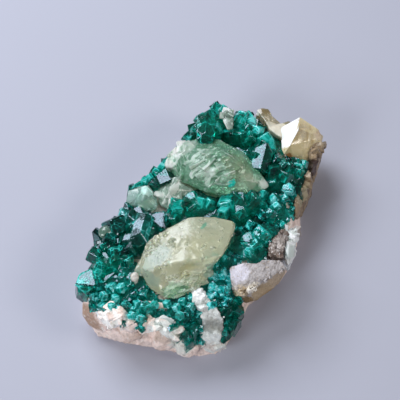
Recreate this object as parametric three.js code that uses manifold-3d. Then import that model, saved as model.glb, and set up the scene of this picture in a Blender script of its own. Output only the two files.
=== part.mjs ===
// Dioptase with calcite on a loose piece of matrix, lying on its flat underside.
// Millimetres, +Z up, the underside at z = 0. The long way of the specimen runs along X.
// The rock carries calcite crystals in sockets, and a crust of short six-sided dioptase prisms,
// each closed by the three faces of a rhombohedron, covers the top between them.

import * as THREE from 'three';
import { ConvexGeometry } from 'three/addons/geometries/ConvexGeometry.js';
import { mergeVertices } from 'three/addons/utils/BufferGeometryUtils.js';
import Module from 'manifold-3d';

const wasm = await Module();
wasm.setup();

// Driving dimensions
const MIDDLE = { x: 4.9, y: -0.85 };      // middle of the footprint, which becomes the origin
const GAP = 0.35;                         // clearance where two solids touch
const ROCK_TOP = 13.6;                    // height of the rock's plateau
const ROCK_HALF = { x: 39, y: 20 };       // half length and half width of the rock
const ROCK_CENTRE = { x: 4, y: -1 };
const CRUST_THICK = 1.9;                  // crust over the rock, its clearance included
const CRUST_LOW = 8.5;                    // how deep the crust reaches over the rock's edge
const CAP_SLOPE = 1.235;                  // drop of a rhombohedron face for each unit outwards
const CRYSTAL_LENGTH = 2.6;               // prism length, in radii
const COLUMN_ABOVE = 12;                  // room over the crust for its crystals
const FILL_TOP = 1.5;                     // how far small crystals stand above the crust
const FILL_RADIUS = 1.45;
const LEAN = 30 * Math.PI / 180;          // largest lean of a crystal from upright

const COLOURS = {
  dioptase: { color: 0x04705c, roughness: 0.12, metalness: 0 },
  calcite: { color: 0xb7bd98, roughness: 0.35, metalness: 0 },
  paleCalcite: { color: 0xbcd6c2, roughness: 0.3, metalness: 0 },
  whiteCalcite: { color: 0xd9dcd6, roughness: 0.6, metalness: 0 },
  honeyCalcite: { color: 0xbda878, roughness: 0.3, metalness: 0 },
  greyCalcite: { color: 0xb1aaa9, roughness: 0.65, metalness: 0 },
  rock: { color: 0xc9b5a5, roughness: 0.8, metalness: 0 },
};

// Rock: each entry is a corner of the underside and the corner of the rim above it,
// counter-clockwise from the left end
const ROCK_CORNERS = [
  { foot: [-34.4, 8.6], rim: [-31, 9, 11.3] },
  { foot: [-32.4, 2.2], rim: [-30.5, 3.5, 11.8] },
  { foot: [-29.6, -4], rim: [-28, -2.5, 12] },
  { foot: [-27.2, -10], rim: [-24.8, -8, 12] },
  { foot: [-24.5, -16], rim: [-20.5, -12, 12.2] },
  { foot: [-21.4, -19.6], rim: [-18, -15.5, 11.5] },
  { foot: [-17.5, -20.4], rim: [-15, -17, 12] },
  { foot: [-11.5, -20], rim: [-11, -17.5, 12] },
  { foot: [-5.5, -19], rim: [-6, -17.5, 11.5] },
  { foot: [-1, -20.5], rim: [-1, -19, 11.5] },
  { foot: [5, -22.3], rim: [5, -20, 11.5] },
  { foot: [10, -22], rim: [10, -19.5, 11.8] },
  { foot: [16, -20.3], rim: [15, -18, 12] },
  { foot: [21.3, -18.5], rim: [20, -15.5, 12] },
  { foot: [25, -16], rim: [24.5, -13.6, 12] },
  { foot: [31, -14.6], rim: [30, -12.4, 12] },
  { foot: [37, -13], rim: [34.5, -10.5, 12] },
  { foot: [41, -9], rim: [36.5, -7, 11.5] },
  { foot: [42.5, -2], rim: [37.5, -1.5, 11.5] },
  { foot: [41, 4], rim: [37.5, 4, 12] },
  { foot: [39, 9], rim: [37, 8.5, 12.3] },
  { foot: [36, 13.5], rim: [34.5, 13, 12.5] },
  { foot: [31.5, 17], rim: [30.5, 16.2, 12.6] },
  { foot: [24.5, 18.4], rim: [24.5, 17.2, 12.6] },
  { foot: [17.5, 18.4], rim: [18, 17, 12.5] },
  { foot: [10.5, 18.8], rim: [11, 17.6, 12.5] },
  { foot: [4, 19.6], rim: [4, 18.4, 12.4] },
  { foot: [-3, 19.5], rim: [-3, 18.2, 12.2] },
  { foot: [-10, 18.6], rim: [-10, 17.2, 12] },
  { foot: [-17, 18], rim: [-17, 16.6, 12] },
  { foot: [-25, 17], rim: [-23.5, 15.6, 11.8] },
  { foot: [-32, 14], rim: [-29, 13.2, 11.4] },
];
const ROCK_LEVELS = [0, 0.3, 0.68, 1];    // steps up the side, as a part of the rim's height
const ROCK_BULGE = [0, 1.1, 0.7, 0];      // how far each step stands out

// Calcite crystals and cleavage pieces, each the convex hull of its corners
const CALCITES = [
  { name: 'calcite_upper', colour: 'paleCalcite', corners: [
    [9.8, 17, 16.4], [14.6, 18, 17], [17.8, 17.4, 17.4], [19.4, 15.8, 17.8], [21.6, 11, 18],
    [23.2, 9.4, 18.4], [23.4, 3.6, 18.4], [23, 0.4, 18.4], [21.4, -2.8, 18], [19.8, -7, 17],
    [19.6, -9, 16.4], [16, -6.8, 16.4], [13.8, -4.4, 16.4], [12.2, -1, 16.4], [9.8, 1.6, 16.4],
    [8.4, 7, 16.4], [7.6, 11, 16.4], [8.2, 13.4, 16.4], [12.6, 14.6, 20.2], [14.2, 9.6, 22.2],
    [17.8, 5.4, 22.6], [18.6, 0.4, 21.4], [11.6, 6, 21.8], [14, 0.2, 21.4], [17.4, -3.8, 19],
    [10.5, 15, 11.6], [20, 14, 11.6], [20, -3, 11.6], [11.5, 1.5, 11.6]] },
  { name: 'calcite_lower', colour: 'calcite', corners: [
    [-19.4, 5.2, 17], [-12.7, 8.2, 17.2], [-9, 7.2, 17.5], [-4.3, 5, 18], [-0.8, 3, 18.5],
    [3, -2.4, 18.8], [5, -8, 18.6], [-18.2, 2.2, 19.6], [-13, -3.8, 21.2], [-9.2, -8.3, 21.2],
    [-5.6, -10.6, 20], [-19.2, 4, 15], [-21.2, 0.6, 14.6], [-21.4, -4.2, 14.4],
    [-18, -7.6, 14.4], [-10.8, -8.8, 14.6], [-1, -9.4, 16.6],
    [-18, 2, 11.6], [-17.5, -4.5, 11.6], [-6, 5, 11.6], [2, -5.5, 11.6]] },
  { name: 'calcite_left_outer', colour: 'paleCalcite', corners: [
    [-4.6, 19, 14.4], [-3.2, 20.6, 14.8], [0.6, 20.8, 15], [2.6, 17.8, 15.8], [1.2, 14.2, 15.4],
    [-1.4, 12.2, 14.8], [-4.2, 14.6, 14.6], [-0.4, 16.2, 19], [-2.8, 15.8, 18],
    [-3, 18, 11.6], [1, 17, 11.6], [-1.5, 14, 11.6]] },
  { name: 'calcite_left_inner', colour: 'paleCalcite', corners: [
    [2.6, 15.6, 15.4], [6.8, 14.4, 16], [8.4, 9.6, 16], [8, 6.8, 15.6], [3.4, 8.6, 15.6],
    [0, 9.6, 14.8], [-0.6, 12, 15], [3.6, 11.6, 18.6], [6.6, 11, 17.4], [3.5, 14, 11.6],
    [6, 9, 11.6], [1, 11, 11.6]] },
  { name: 'calcite_honey', colour: 'honeyCalcite', corners: [
    [42, -4, 17], [37.9, -5.5, 18], [32.8, -6.6, 17], [30.6, -6, 15.4], [37.2, -0.8, 15],
    [42.6, -9.6, 15], [41.6, -11.6, 13.6], [44, -10.8, 6.5], [36.8, -12.6, 10], [33.8, -12, 11],
    [44.2, -4.5, 8], [41, -1, 8.5], [40.6, -11.4, 5], [36, -8, 5], [40, -4, 5], [31.8, -9.6, 12.4]] },
  { name: 'calcite_honey_flank', colour: 'honeyCalcite', corners: [
    [39.8, 7.4, 13.8], [40.4, 5.6, 14], [38.8, 1.4, 13], [39.8, -0.2, 12.6], [36.6, -1.2, 12.4],
    [37.4, 4, 14.4], [37.6, 7.2, 14.4], [42.2, 6, 6.5], [42.6, 0, 6.5], [38.5, 7.5, 5.5],
    [38, 0, 5.5]] },
  { name: 'calcite_grey_block', colour: 'greyCalcite', corners: [
    [-6, -12.8, 16.4], [-3.1, -15.6, 17.4], [1.1, -23.1, 16.8], [1.4, -24.3, 15.8],
    [-2.8, -22.8, 14.8], [-7, -18.8, 15.4], [-10, -17.4, 14.8], [-9.4, -15.6, 15.4],
    [2.4, -23.6, 12], [-2.2, -22.2, 8.6], [-8.6, -19.4, 8.6], [-9.6, -18.2, 11],
    [-5, -15, 10.5], [1.5, -18.5, 10.5], [-8, -16, 10.5]] },
  { name: 'calcite_brown_wedge', colour: 'greyCalcite', corners: [
    [5.4, -17.2, 15], [11.2, -17.6, 15.8], [9.6, -19.6, 15], [4.2, -21, 14], [3, -18.8, 14],
    [5.5, -17.5, 10.5], [11, -18, 10.5], [4.5, -20.5, 10]] },
  { name: 'calcite_white_slab', colour: 'whiteCalcite', corners: [
    [12.4, -18.6, 14.6], [10.8, -19.8, 14], [11.6, -22, 12], [5.8, -23.8, 10], [4.4, -22, 12.8],
    [11.8, -20.6, 5], [6.4, -23.4, 5], [5.5, -21.2, 6], [12.8, -19.6, 8]] },
  { name: 'calcite_ridge', colour: 'whiteCalcite', corners: [
    [-16.5, -9.9, 15.2], [-15.5, -12.4, 15.8], [-16.6, -15.8, 15.2], [-17, -18, 14.6],
    [-18.4, -19.8, 11], [-19.8, -20.6, 5], [-22, -19.2, 2.5], [-22.8, -16.8, 6],
    [-21, -15.6, 10], [-20, -14, 13.2], [-18, -11.2, 14.8], [-17, -12, 9], [-18.6, -16, 3]] },
  { name: 'calcite_blade', colour: 'paleCalcite', corners: [
    [-29.3, -4.4, 13], [-25, -5.8, 14.6], [-24.3, -9.4, 14], [-26.5, -8.8, 12.2],
    [-28.9, -6.2, 11.6], [-26, -6.5, 9.5], [-28, -4.8, 10]] },
  { name: 'calcite_knob_rim', colour: 'whiteCalcite', corners: [
    [-13, 18.9, 16.6], [-14, 20.7, 16.4], [-16.2, 20.8, 16.2], [-17.3, 19, 16], [-16.3, 17.2, 16.2],
    [-14.1, 17, 16.4], [-15.2, 19, 17.6], [-15, 18.6, 13]] },
  { name: 'calcite_knob_tip', colour: 'whiteCalcite', corners: [
    [-19.6, 5.6, 16.2], [-20.8, 7, 16], [-22.6, 6, 15.8], [-22.6, 4.4, 15.8], [-20.8, 3.8, 16.2],
    [-21, 5.4, 17.4], [-21, 5.5, 13]] },
  { name: 'calcite_chip', colour: 'paleCalcite', corners: [
    [33.4, 14.6, 15.6], [31.6, 15.2, 16], [29.8, 11.8, 16.4], [29.4, 9.6, 16], [31, 9.4, 16],
    [33, 11.6, 16.2], [31.8, 12.4, 17.2], [31.5, 12, 12.4]] },
  { name: 'calcite_brown_flank', colour: 'honeyCalcite', corners: [
    [22.6, -14.8, 11.4], [28, -12.6, 11.8], [34.2, -12.4, 10], [37.4, -13, 8], [35.8, -13.4, 1.5],
    [29.6, -16, 7.6], [25.4, -16.6, 6.6], [21.2, -17.2, 6.6], [24, -17, 1.5], [31, -15.4, 1.5],
    [23, -15, 2], [34, -12.2, 2]] },
];

// Parts of the crust: outline in plan, height that its small crystals stand on, and the large
// crystals as [x, y, radius, height of the tip]. Small crystals fill the rest at the given spacing.
const CLUSTERS = [
  { name: 'dioptase_rim_left', crust: 14.2, spacing: 3.3, outline: [
    [-31.6, 12.8], [-17, 9.1], [-16.6, 21.4], [-24, 21.2], [-31.6, 17.6]],
    crystals: [[-28.9, 14.6, 2.5, 16.4], [-20.6, 17.4, 2.6, 17], [-26, 12.6, 1.9, 15.6],
      [-18.4, 14.4, 2.2, 16.8], [-23.8, 15.2, 1.9, 16], [-18.4, 19, 1.7, 16.6]] },
  { name: 'dioptase_rim_upper', crust: 14.4, spacing: 3.4, outline: [
    [-16.6, 9], [-13, 5], [-3.2, 7], [-3.6, 15], [-5.6, 22], [-16.4, 22.6]],
    crystals: [[-12.4, 19.2, 2.6, 17.6], [-9.4, 18.2, 1.8, 17], [-10.4, 13.8, 2.8, 18.4],
      [-6.8, 13, 2.6, 18], [-6.2, 16, 2.1, 17.4], [-13, 10.6, 2, 17], [-4.8, 10.8, 1.7, 16.6]] },
  { name: 'dioptase_field_left', crust: 13.6, spacing: 3, outline: [
    [-34, 3.4], [-20, 1.5], [-17.2, 8.9], [-31.6, 12.6], [-34.4, 10]],
    crystals: [[-26.8, 8.4, 1.8, 15.2], [-25.6, 5.8, 1.9, 15.4], [-29.6, 9, 1.5, 14.8],
      [-28.8, 5.8, 1.5, 15], [-31.4, 6, 1.4, 14.4]] },
  { name: 'dioptase_field_front', crust: 13.4, spacing: 2.9, low: 11.8, outline: [
    [-33.6, 3.2], [-31, -7.4], [-19, -4.5], [-20.2, 1.4]],
    crystals: [[-24.6, 1.8, 1.7, 15.4], [-27, -1.6, 2, 15.4], [-28.6, 2.6, 1.4, 14.8],
      [-30.6, -0.6, 1.4, 14.4], [-27.4, -4.8, 1.4, 14.6]] },
  { name: 'dioptase_field_lower', crust: 13.4, spacing: 2.7, low: 11.8, outline: [
    [-27.6, -9.6], [-22, -12.4], [-15.6, -11], [-15, -6.2], [-19, -4.6], [-26.8, -6.6]],
    crystals: [[-22.2, -7.6, 1.5, 15.2], [-20.2, -10.6, 1.7, 15.4], [-23.4, -10.4, 1.4, 14.8]] },
  { name: 'dioptase_tongue', crust: 11.8, spacing: 3, low: 5.2, outline: [
    [-26.8, -10.6], [-27.4, -14.2], [-24.6, -15.6], [-19.6, -13.4]],
    crystals: [[-24.6, -13.2, 1.8, 13], [-25.4, -14, 1.5, 10.8], [-22.4, -13.4, 1.6, 14]] },
  { name: 'dioptase_bottom_right', crust: 13.4, spacing: 3.1, low: 5, outline: [
    [-18.2, -15.4], [-21, -22.6], [-11, -22.4], [-9.6, -18.4], [-13.4, -16.6]],
    crystals: [[-14.6, -18.6, 1.9, 15.6], [-16.4, -21, 1.9, 14.6], [-13.2, -20.4, 1.8, 15]] },
  { name: 'dioptase_inner_right', crust: 14, spacing: 2.7, outline: [
    [-15, -6.2], [-15.4, -11], [-13.2, -16.4], [-6, -17], [-1.2, -13], [-1, -7]],
    crystals: [[-7, -9.8, 1.5, 16], [-3.8, -10.8, 1.7, 16.4], [-8.6, -12.8, 1.5, 15.8]] },
  { name: 'dioptase_saddle', crust: 14.8, spacing: 3.4, outline: [
    [-3, 10], [-4, 3], [6, -5], [11.5, 0.5], [9, 8], [3, 10.5]],
    crystals: [[2.6, 6.8, 2.9, 18.4], [-1, 8.4, 1.8, 17.2], [4.4, 3.2, 2, 17.6],
      [6.6, 1.2, 1.8, 17.2]] },
  { name: 'dioptase_middle', crust: 14.8, spacing: 3.4, outline: [
    [6, -5], [4, -8.6], [10.4, -12.6], [18.6, -9.2], [16.5, -5.5], [11.5, 0.4]],
    crystals: [[8.8, -3.2, 2.6, 17.4], [8, -7, 2.2, 17.6], [13, -8.8, 2.9, 18.2],
      [9.2, -10.6, 2, 17.2]] },
  { name: 'dioptase_right_front', crust: 14.4, spacing: 3.1, outline: [
    [-1, -7.2], [-1, -13], [-0.6, -18.6], [8, -19.6], [12.4, -16], [10.2, -12.6], [4, -8.6]],
    crystals: [[3.8, -9.8, 1.8, 17], [4, -12.4, 2.2, 17.2], [6.8, -15.4, 2.9, 17.4],
      [2.8, -16.2, 2, 16.6], [0.8, -14.8, 1.6, 16.2]] },
  { name: 'dioptase_right_rim', crust: 14.2, spacing: 3, outline: [
    [10.4, -12.6], [12.6, -16.2], [14.6, -19.4], [24.4, -16.6], [18.6, -9.3]],
    crystals: [[13.4, -13.8, 2, 17], [18, -11.8, 1.9, 16.8], [22, -12.4, 1.8, 16.6],
      [13.6, -17.6, 1.5, 15.4], [18.4, -15, 1.5, 15.4]] },
  { name: 'dioptase_shoulder_front', crust: 14.4, spacing: 3.2, outline: [
    [18.6, -9.2], [24.4, -16.6], [31.6, -14], [31, -8], [22.4, -4.4], [17.4, -6.2]],
    crystals: [[24, -6.6, 2.7, 17.8], [27.4, -9.2, 2.4, 17.2], [29.6, -11.6, 1.8, 16.2],
      [25.4, -11.6, 1.8, 16.4]] },
  { name: 'dioptase_shoulder_back', crust: 14.6, spacing: 3.1, outline: [
    [22.4, -4.4], [31, -7.8], [34.8, -2.8], [36, 3], [24, 3]],
    crystals: [[27.2, -1.2, 2, 17.2], [32.6, 0.2, 1.8, 16.8], [28.4, -4.2, 1.9, 17],
      [30.6, -2.4, 1.5, 16.4]] },
  { name: 'dioptase_crest', crust: 14.8, spacing: 3.2, outline: [
    [24, 3], [36, 3], [38.6, 8.6], [36, 12.6], [22.6, 10.8]],
    crystals: [[28.8, 5, 2.6, 17.8], [26.6, 8.8, 1.9, 17.4], [32, 6.2, 2, 17], [34, 9.8, 2, 16.8],
      [35.4, 7, 1.7, 16.2]] },
  { name: 'dioptase_tip', crust: 15, spacing: 3.3, outline: [
    [22.6, 11], [36, 12.8], [35.6, 19.6], [27, 20.8], [17, 20.4], [17.6, 14]],
    crystals: [[24, 13.8, 3, 18.8], [28.2, 16.8, 2.8, 18.4], [27.4, 13.4, 1.9, 17.8],
      [32.8, 17.6, 1.6, 17.4], [33.8, 15.4, 1.5, 16.8], [24.8, 18.6, 2, 17.2],
      [20.8, 17.6, 1.6, 16.8]] },
  { name: 'dioptase_edge_row', crust: 14, spacing: 3, outline: [
    [-2, 19.4], [4.4, 17.6], [12.6, 16.8], [14.8, 21], [4, 22.6], [-1.6, 22.8]],
    crystals: [[0.6, 21, 1.5, 15.8], [4.6, 19.8, 1.3, 15.4], [8.4, 19.4, 1.3, 15.6],
      [11.6, 19.2, 1.3, 15.8]] },
];

// The one large prism that lies on its side: from its buried end to its tip
const LYING = { from: [3.4, 18, 15.6], to: [9.6, 14.9, 16.4], radius: 1.7 };

/** A repeatable stream of numbers from 0 to 1 for one seed. */
function randomStream(seed) {
  let state = seed;
  return () => {
    state = (state + 0x6d2b79f5) | 0;
    let mixed = Math.imul(state ^ (state >>> 15), 1 | state);
    mixed = (mixed + Math.imul(mixed ^ (mixed >>> 7), 61 | mixed)) ^ mixed;
    return ((mixed ^ (mixed >>> 14)) >>> 0) / 4294967296;
  };
}

/** The solid held by a closed geometry. */
function toSolid(geometry) {
  const bare = geometry.clone();
  bare.deleteAttribute('normal');
  bare.deleteAttribute('uv');
  const merged = mergeVertices(bare, 1e-4);
  return new wasm.Manifold(new wasm.Mesh({
    numProp: 3,
    vertProperties: new Float32Array(merged.attributes.position.array),
    triVerts: new Uint32Array(merged.index.array),
  }));
}

/** The geometry of a solid, with flat faces. */
function toGeometry(solid) {
  const { numProp, vertProperties, triVerts } = solid.getMesh();
  const positions = new Float32Array((vertProperties.length / numProp) * 3);
  for (let i = 0; i < vertProperties.length / numProp; i += 1) {
    positions.set(vertProperties.subarray(i * numProp, i * numProp + 3), i * 3);
  }
  const geometry = new THREE.BufferGeometry();
  geometry.setAttribute('position', new THREE.BufferAttribute(positions, 3));
  geometry.setIndex(new THREE.BufferAttribute(new Uint32Array(triVerts), 1));
  geometry.computeVertexNormals();
  return geometry;
}

/** The convex solid through a list of corners. */
function hull(corners) {
  return toSolid(new ConvexGeometry(corners.map(([x, y, z]) => new THREE.Vector3(x, y, z))));
}

/** The corners moved away from the middle of their box by the clearance. */
function grownCorners(corners, gap) {
  const box = new THREE.Box3().setFromPoints(corners.map((corner) => new THREE.Vector3(...corner)));
  const centre = box.getCenter(new THREE.Vector3()).toArray();
  const half = box.getSize(new THREE.Vector3()).multiplyScalar(0.5).toArray();
  return corners.map((corner) => corner.map((value, axis) => (
    centre[axis] + (value - centre[axis]) * ((half[axis] + gap) / half[axis]))));
}

/** The largest single body of a solid, without the loose slivers that a cut leaves. */
function largestBody(solid) {
  return solid.decompose().reduce((best, body) => (body.volume() > best.volume() ? body : best));
}

/** A vertical prism over an outline, from one height to another. */
function slab(outline, low, high) {
  const shape = new THREE.Shape(outline.map(([x, y]) => new THREE.Vector2(x, y)));
  const geometry = new THREE.ExtrudeGeometry(shape, { depth: high - low, bevelEnabled: false });
  return toSolid(geometry.translate(0, 0, low));
}

/** A convex, counter-clockwise outline with every side moved inwards. */
function inset(outline, distance) {
  const sides = outline.map(([x, y], i) => {
    const [nextX, nextY] = outline[(i + 1) % outline.length];
    const length = Math.hypot(nextX - x, nextY - y);
    const normal = [-(nextY - y) / length, (nextX - x) / length];
    return { normal, offset: normal[0] * x + normal[1] * y + distance };
  });
  return sides.map((side, i) => {
    const before = sides[(i + sides.length - 1) % sides.length];
    const cross = before.normal[0] * side.normal[1] - before.normal[1] * side.normal[0];
    return [
      (before.offset * side.normal[1] - side.offset * before.normal[1]) / cross,
      (before.normal[0] * side.offset - side.normal[0] * before.offset) / cross,
    ];
  });
}

/** Whether a point lies inside a convex, counter-clockwise outline. */
function inside(outline, x, y) {
  return outline.every(([ax, ay], i) => {
    const [bx, by] = outline[(i + 1) % outline.length];
    return (bx - ax) * (y - ay) - (by - ay) * (x - ax) > 0;
  });
}

/** A dioptase crystal: a six-sided prism whose tip is three rhombohedron faces. */
function crystal(tip, axis, radius, length, twist) {
  const corners = [[0, 0, 0]];
  for (let side = 0; side < 6; side += 1) {
    const angle = twist + side * Math.PI / 3;
    const drop = CAP_SLOPE * radius * (side % 2 === 0 ? 1 : 0.5);
    corners.push([radius * Math.cos(angle), radius * Math.sin(angle), -drop]);
    corners.push([radius * Math.cos(angle), radius * Math.sin(angle), -length]);
  }
  const turn = new THREE.Quaternion().setFromUnitVectors(new THREE.Vector3(0, 0, 1), axis);
  const place = new THREE.Vector3(...tip);
  return toSolid(new ConvexGeometry(corners.map((corner) => (
    new THREE.Vector3(...corner).applyQuaternion(turn).add(place)))));
}

/** The rock: a flat underside, sides in facets and a low plateau. */
function rock() {
  const random = randomStream(41);
  const count = ROCK_CORNERS.length;
  const points = [];
  ROCK_LEVELS.forEach((level, step) => {
    for (const { foot, rim } of ROCK_CORNERS) {
      const x = foot[0] + (rim[0] - foot[0]) * level;
      const y = foot[1] + (rim[1] - foot[1]) * level;
      const reach = Math.hypot(x - ROCK_CENTRE.x, y - ROCK_CENTRE.y);
      const out = 1 + (ROCK_BULGE[step] * (random() - 0.3)) / reach;
      points.push([
        ROCK_CENTRE.x + (x - ROCK_CENTRE.x) * out,
        ROCK_CENTRE.y + (y - ROCK_CENTRE.y) * out,
        rim[2] * level]);
    }
  });
  for (const { rim } of ROCK_CORNERS) {
    points.push([
      ROCK_CENTRE.x + (rim[0] - ROCK_CENTRE.x) * 0.72,
      ROCK_CENTRE.y + (rim[1] - ROCK_CENTRE.y) * 0.72,
      ROCK_TOP - 0.5 + random() * 0.5]);
  }
  const rings = points.length / count;
  points.push([ROCK_CENTRE.x, ROCK_CENTRE.y, ROCK_TOP]);
  points.push([ROCK_CENTRE.x, ROCK_CENTRE.y, 0]);
  const [peak, footMiddle] = [points.length - 2, points.length - 1];
  const faces = [];
  for (let i = 0; i < count; i += 1) {
    const next = (i + 1) % count;
    for (let ring = 0; ring < rings - 1; ring += 1) {
      const low = ring * count;
      const high = low + count;
      faces.push(low + i, low + next, high + next, low + i, high + next, high + i);
    }
    faces.push((rings - 1) * count + i, (rings - 1) * count + next, peak);
    faces.push(next, i, footMiddle);
  }
  const geometry = new THREE.BufferGeometry();
  geometry.setAttribute('position', new THREE.Float32BufferAttribute(points.flat(), 3));
  geometry.setIndex(faces);
  return toSolid(geometry);
}

/** One part of the crust with its crystals, cut clear of its neighbours. */
function cluster({ outline, crust, low, spacing, crystals }, seed, shell, obstacles) {
  const random = randomStream(seed);
  const territory = inset(outline, GAP / 2);
  const column = slab(territory, low ?? CRUST_LOW, crust + COLUMN_ABOVE);
  const planted = [...crystals];
  const xs = outline.map(([x]) => x);
  const ys = outline.map(([, y]) => y);
  for (let row = 0; Math.min(...ys) + row * spacing < Math.max(...ys); row += 1) {
    for (let x = Math.min(...xs) + (row % 2) * spacing / 2; x < Math.max(...xs); x += spacing) {
      const place = [x + (random() - 0.5), Math.min(...ys) + row * spacing + (random() - 0.5)];
      const clear = planted.every(([cx, cy, r]) => Math.hypot(cx - place[0], cy - place[1]) > r + 0.9);
      if (inside(territory, ...place) && clear) {
        planted.push([...place, FILL_RADIUS * (0.8 + 0.4 * random()),
          crust + FILL_TOP * (0.7 + 0.6 * random())]);
      }
    }
  }
  const middle = [xs, ys].map((values) => (Math.min(...values) + Math.max(...values)) / 2);
  const bodies = planted.map(([x, y, radius, top]) => {
    const lean = LEAN * (random() - 0.5);
    const sway = LEAN * (random() - 0.5);
    const outwards = 0.012 * LEAN;
    const axis = new THREE.Vector3(
      Math.sin(lean) + outwards * (x - middle[0]),
      Math.sin(sway) + outwards * (y - middle[1]),
      1).normalize();
    return crystal([x, y, top], axis, radius, CRYSTAL_LENGTH * radius + 1.5, random() * Math.PI);
  });
  const whole = bodies.reduce((sum, body) => sum.add(body), shell).intersect(column);
  return largestBody(obstacles.reduce((rest, obstacle) => rest.subtract(obstacle), whole));
}

/** A solid grown about the middle of the rock's foot, for clearance. */
function grownRock(solid, gap) {
  return solid.translate([-ROCK_CENTRE.x, -ROCK_CENTRE.y, 0])
    .scale([1 + gap / ROCK_HALF.x, 1 + gap / ROCK_HALF.y, 1 + gap / ROCK_TOP])
    .translate([ROCK_CENTRE.x, ROCK_CENTRE.y, 0]);
}

const specimen = new THREE.Group();
specimen.position.set(-MIDDLE.x, -MIDDLE.y, 0);

/** Adds one solid to the specimen as a named sub-part. */
function addPart(name, solid, colour) {
  const mesh = new THREE.Mesh(toGeometry(solid), new THREE.MeshStandardMaterial(COLOURS[colour]));
  mesh.name = name;
  specimen.add(mesh);
}

const bareRock = rock();
const clearOfRock = grownRock(bareRock, GAP + 0.15);
const sockets = CALCITES.map(({ corners }) => hull(grownCorners(corners, GAP + 0.2)));
addPart('matrix_rock', largestBody(sockets.reduce((rest, socket) => rest.subtract(socket), bareRock)),
  'rock');

CALCITES.forEach(({ name, colour, corners }, index) => {
  const cut = sockets.slice(0, index).reduce((rest, socket) => rest.subtract(socket), hull(corners));
  addPart(name, largestBody(cut), colour);
});

const lyingAxis = new THREE.Vector3(...LYING.to).sub(new THREE.Vector3(...LYING.from));
const lyingPrism = [LYING.radius, LYING.radius + GAP].map((radius) => (
  crystal(LYING.to, lyingAxis.clone().normalize(), radius, lyingAxis.length(), Math.PI / 6)));
addPart('dioptase_lying_prism', largestBody([clearOfRock, ...sockets].reduce(
  (rest, obstacle) => rest.subtract(obstacle), lyingPrism[0])), 'dioptase');

const shell = grownRock(bareRock, CRUST_THICK);
const obstacles = [clearOfRock, lyingPrism[1], ...sockets];
CLUSTERS.forEach((row, index) => {
  addPart(row.name, cluster(row, 100 + index, shell, obstacles), 'dioptase');
});

export default specimen;
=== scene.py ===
"""Dioptase crystals with calcite on a loose piece of matrix, in a plain studio.

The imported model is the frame. Every piece here is grown round it: the rock gets its broken skin, each
calcite its facets, ripples and frost, and each part of the crust its own stand of dioptase crystals.
Places are given in growth-plan millimetres: X along the specimen, Y across it, Z up from the table.
"""

import logging
import math
import random
from collections.abc import Iterable, Iterator, Sequence
from contextlib import contextmanager
from dataclasses import dataclass, field
from enum import Enum

import bpy
from mathutils import Matrix, Vector
from mathutils.bvhtree import BVHTree

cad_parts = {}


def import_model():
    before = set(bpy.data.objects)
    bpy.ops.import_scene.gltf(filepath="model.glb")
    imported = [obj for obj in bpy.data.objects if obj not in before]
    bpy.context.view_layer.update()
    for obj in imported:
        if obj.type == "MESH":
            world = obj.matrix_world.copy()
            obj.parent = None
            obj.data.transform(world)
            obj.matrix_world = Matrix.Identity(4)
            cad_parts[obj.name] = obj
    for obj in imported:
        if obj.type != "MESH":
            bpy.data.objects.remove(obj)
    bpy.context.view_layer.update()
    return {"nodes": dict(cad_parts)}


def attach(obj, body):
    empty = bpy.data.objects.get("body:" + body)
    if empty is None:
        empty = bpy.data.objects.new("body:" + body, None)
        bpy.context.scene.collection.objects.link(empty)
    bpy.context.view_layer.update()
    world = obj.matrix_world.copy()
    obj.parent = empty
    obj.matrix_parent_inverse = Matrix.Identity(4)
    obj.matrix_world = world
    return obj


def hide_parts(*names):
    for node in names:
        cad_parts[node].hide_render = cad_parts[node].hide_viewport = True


log = logging.getLogger("specimen")

MM = 0.001
PLAN_MIDDLE = (4.9, -0.85)          # growth-plan place of the footprint's middle, in mm
BODY = "root"
CAP_TILT = 51.0                     # degrees between a prism's axis and a cap face's normal
SKYWARD = Vector((-0.13, 0.23, 0.96))   # the way a face looks that mirrors the window to the viewer
MERGE = 0.005                       # points of a frame solid closer than this are one, in mm

Point = tuple[float, float, float]
Span = tuple[float, float]
Settings = dict[str | int, object]
Object = bpy.types.Object
Socket = bpy.types.NodeSocket
Tree = bpy.types.NodeTree


# Small tools -----------------------------------------------------------------------------------------


def place(x: float, y: float, z: float) -> Vector:
    """A growth-plan point, in mm, as a point of the frame, in metres."""
    return Vector(((x - PLAN_MIDDLE[0]) * MM, (y - PLAN_MIDDLE[1]) * MM, z * MM))


def plan_of(point: Vector) -> Vector:
    """A point of the frame, in metres, as a growth-plan point, in mm."""
    return Vector((point.x / MM + PLAN_MIDDLE[0], point.y / MM + PLAN_MIDDLE[1], point.z / MM))


def linear(code: str) -> tuple[float, float, float, float]:
    """An sRGB hex colour as linear RGBA.

    Args:
        code: The colour, such as "#0a7f66".

    Returns:
        The four numbers that a colour socket takes.
    """
    parts = [int(code[i:i + 2], 16) / 255 for i in (1, 3, 5)]
    red, green, blue = [c / 12.92 if c <= 0.04045 else ((c + 0.055) / 1.055) ** 2.4 for c in parts]
    return red, green, blue, 1.0


def between(ends: Span, share: float) -> float:
    """The number that lies this share of the way between two others."""
    return ends[0] + (ends[1] - ends[0]) * share


def leaning(lean: float, toward: float) -> Vector:
    """The direction that leans from upright.

    Args:
        lean: Degrees from upright.
        toward: Compass direction of the lean in plan, in degrees from +X.

    Returns:
        A unit vector.
    """
    tilt, turn = math.radians(lean), math.radians(toward)
    return Vector((math.sin(tilt) * math.cos(turn), math.sin(tilt) * math.sin(turn), math.cos(tilt)))


def only(obj: Object) -> None:
    """Selects one object and makes it active."""
    bpy.ops.object.select_all(action="DESELECT")
    obj.select_set(True)
    bpy.context.view_layer.objects.active = obj


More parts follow.
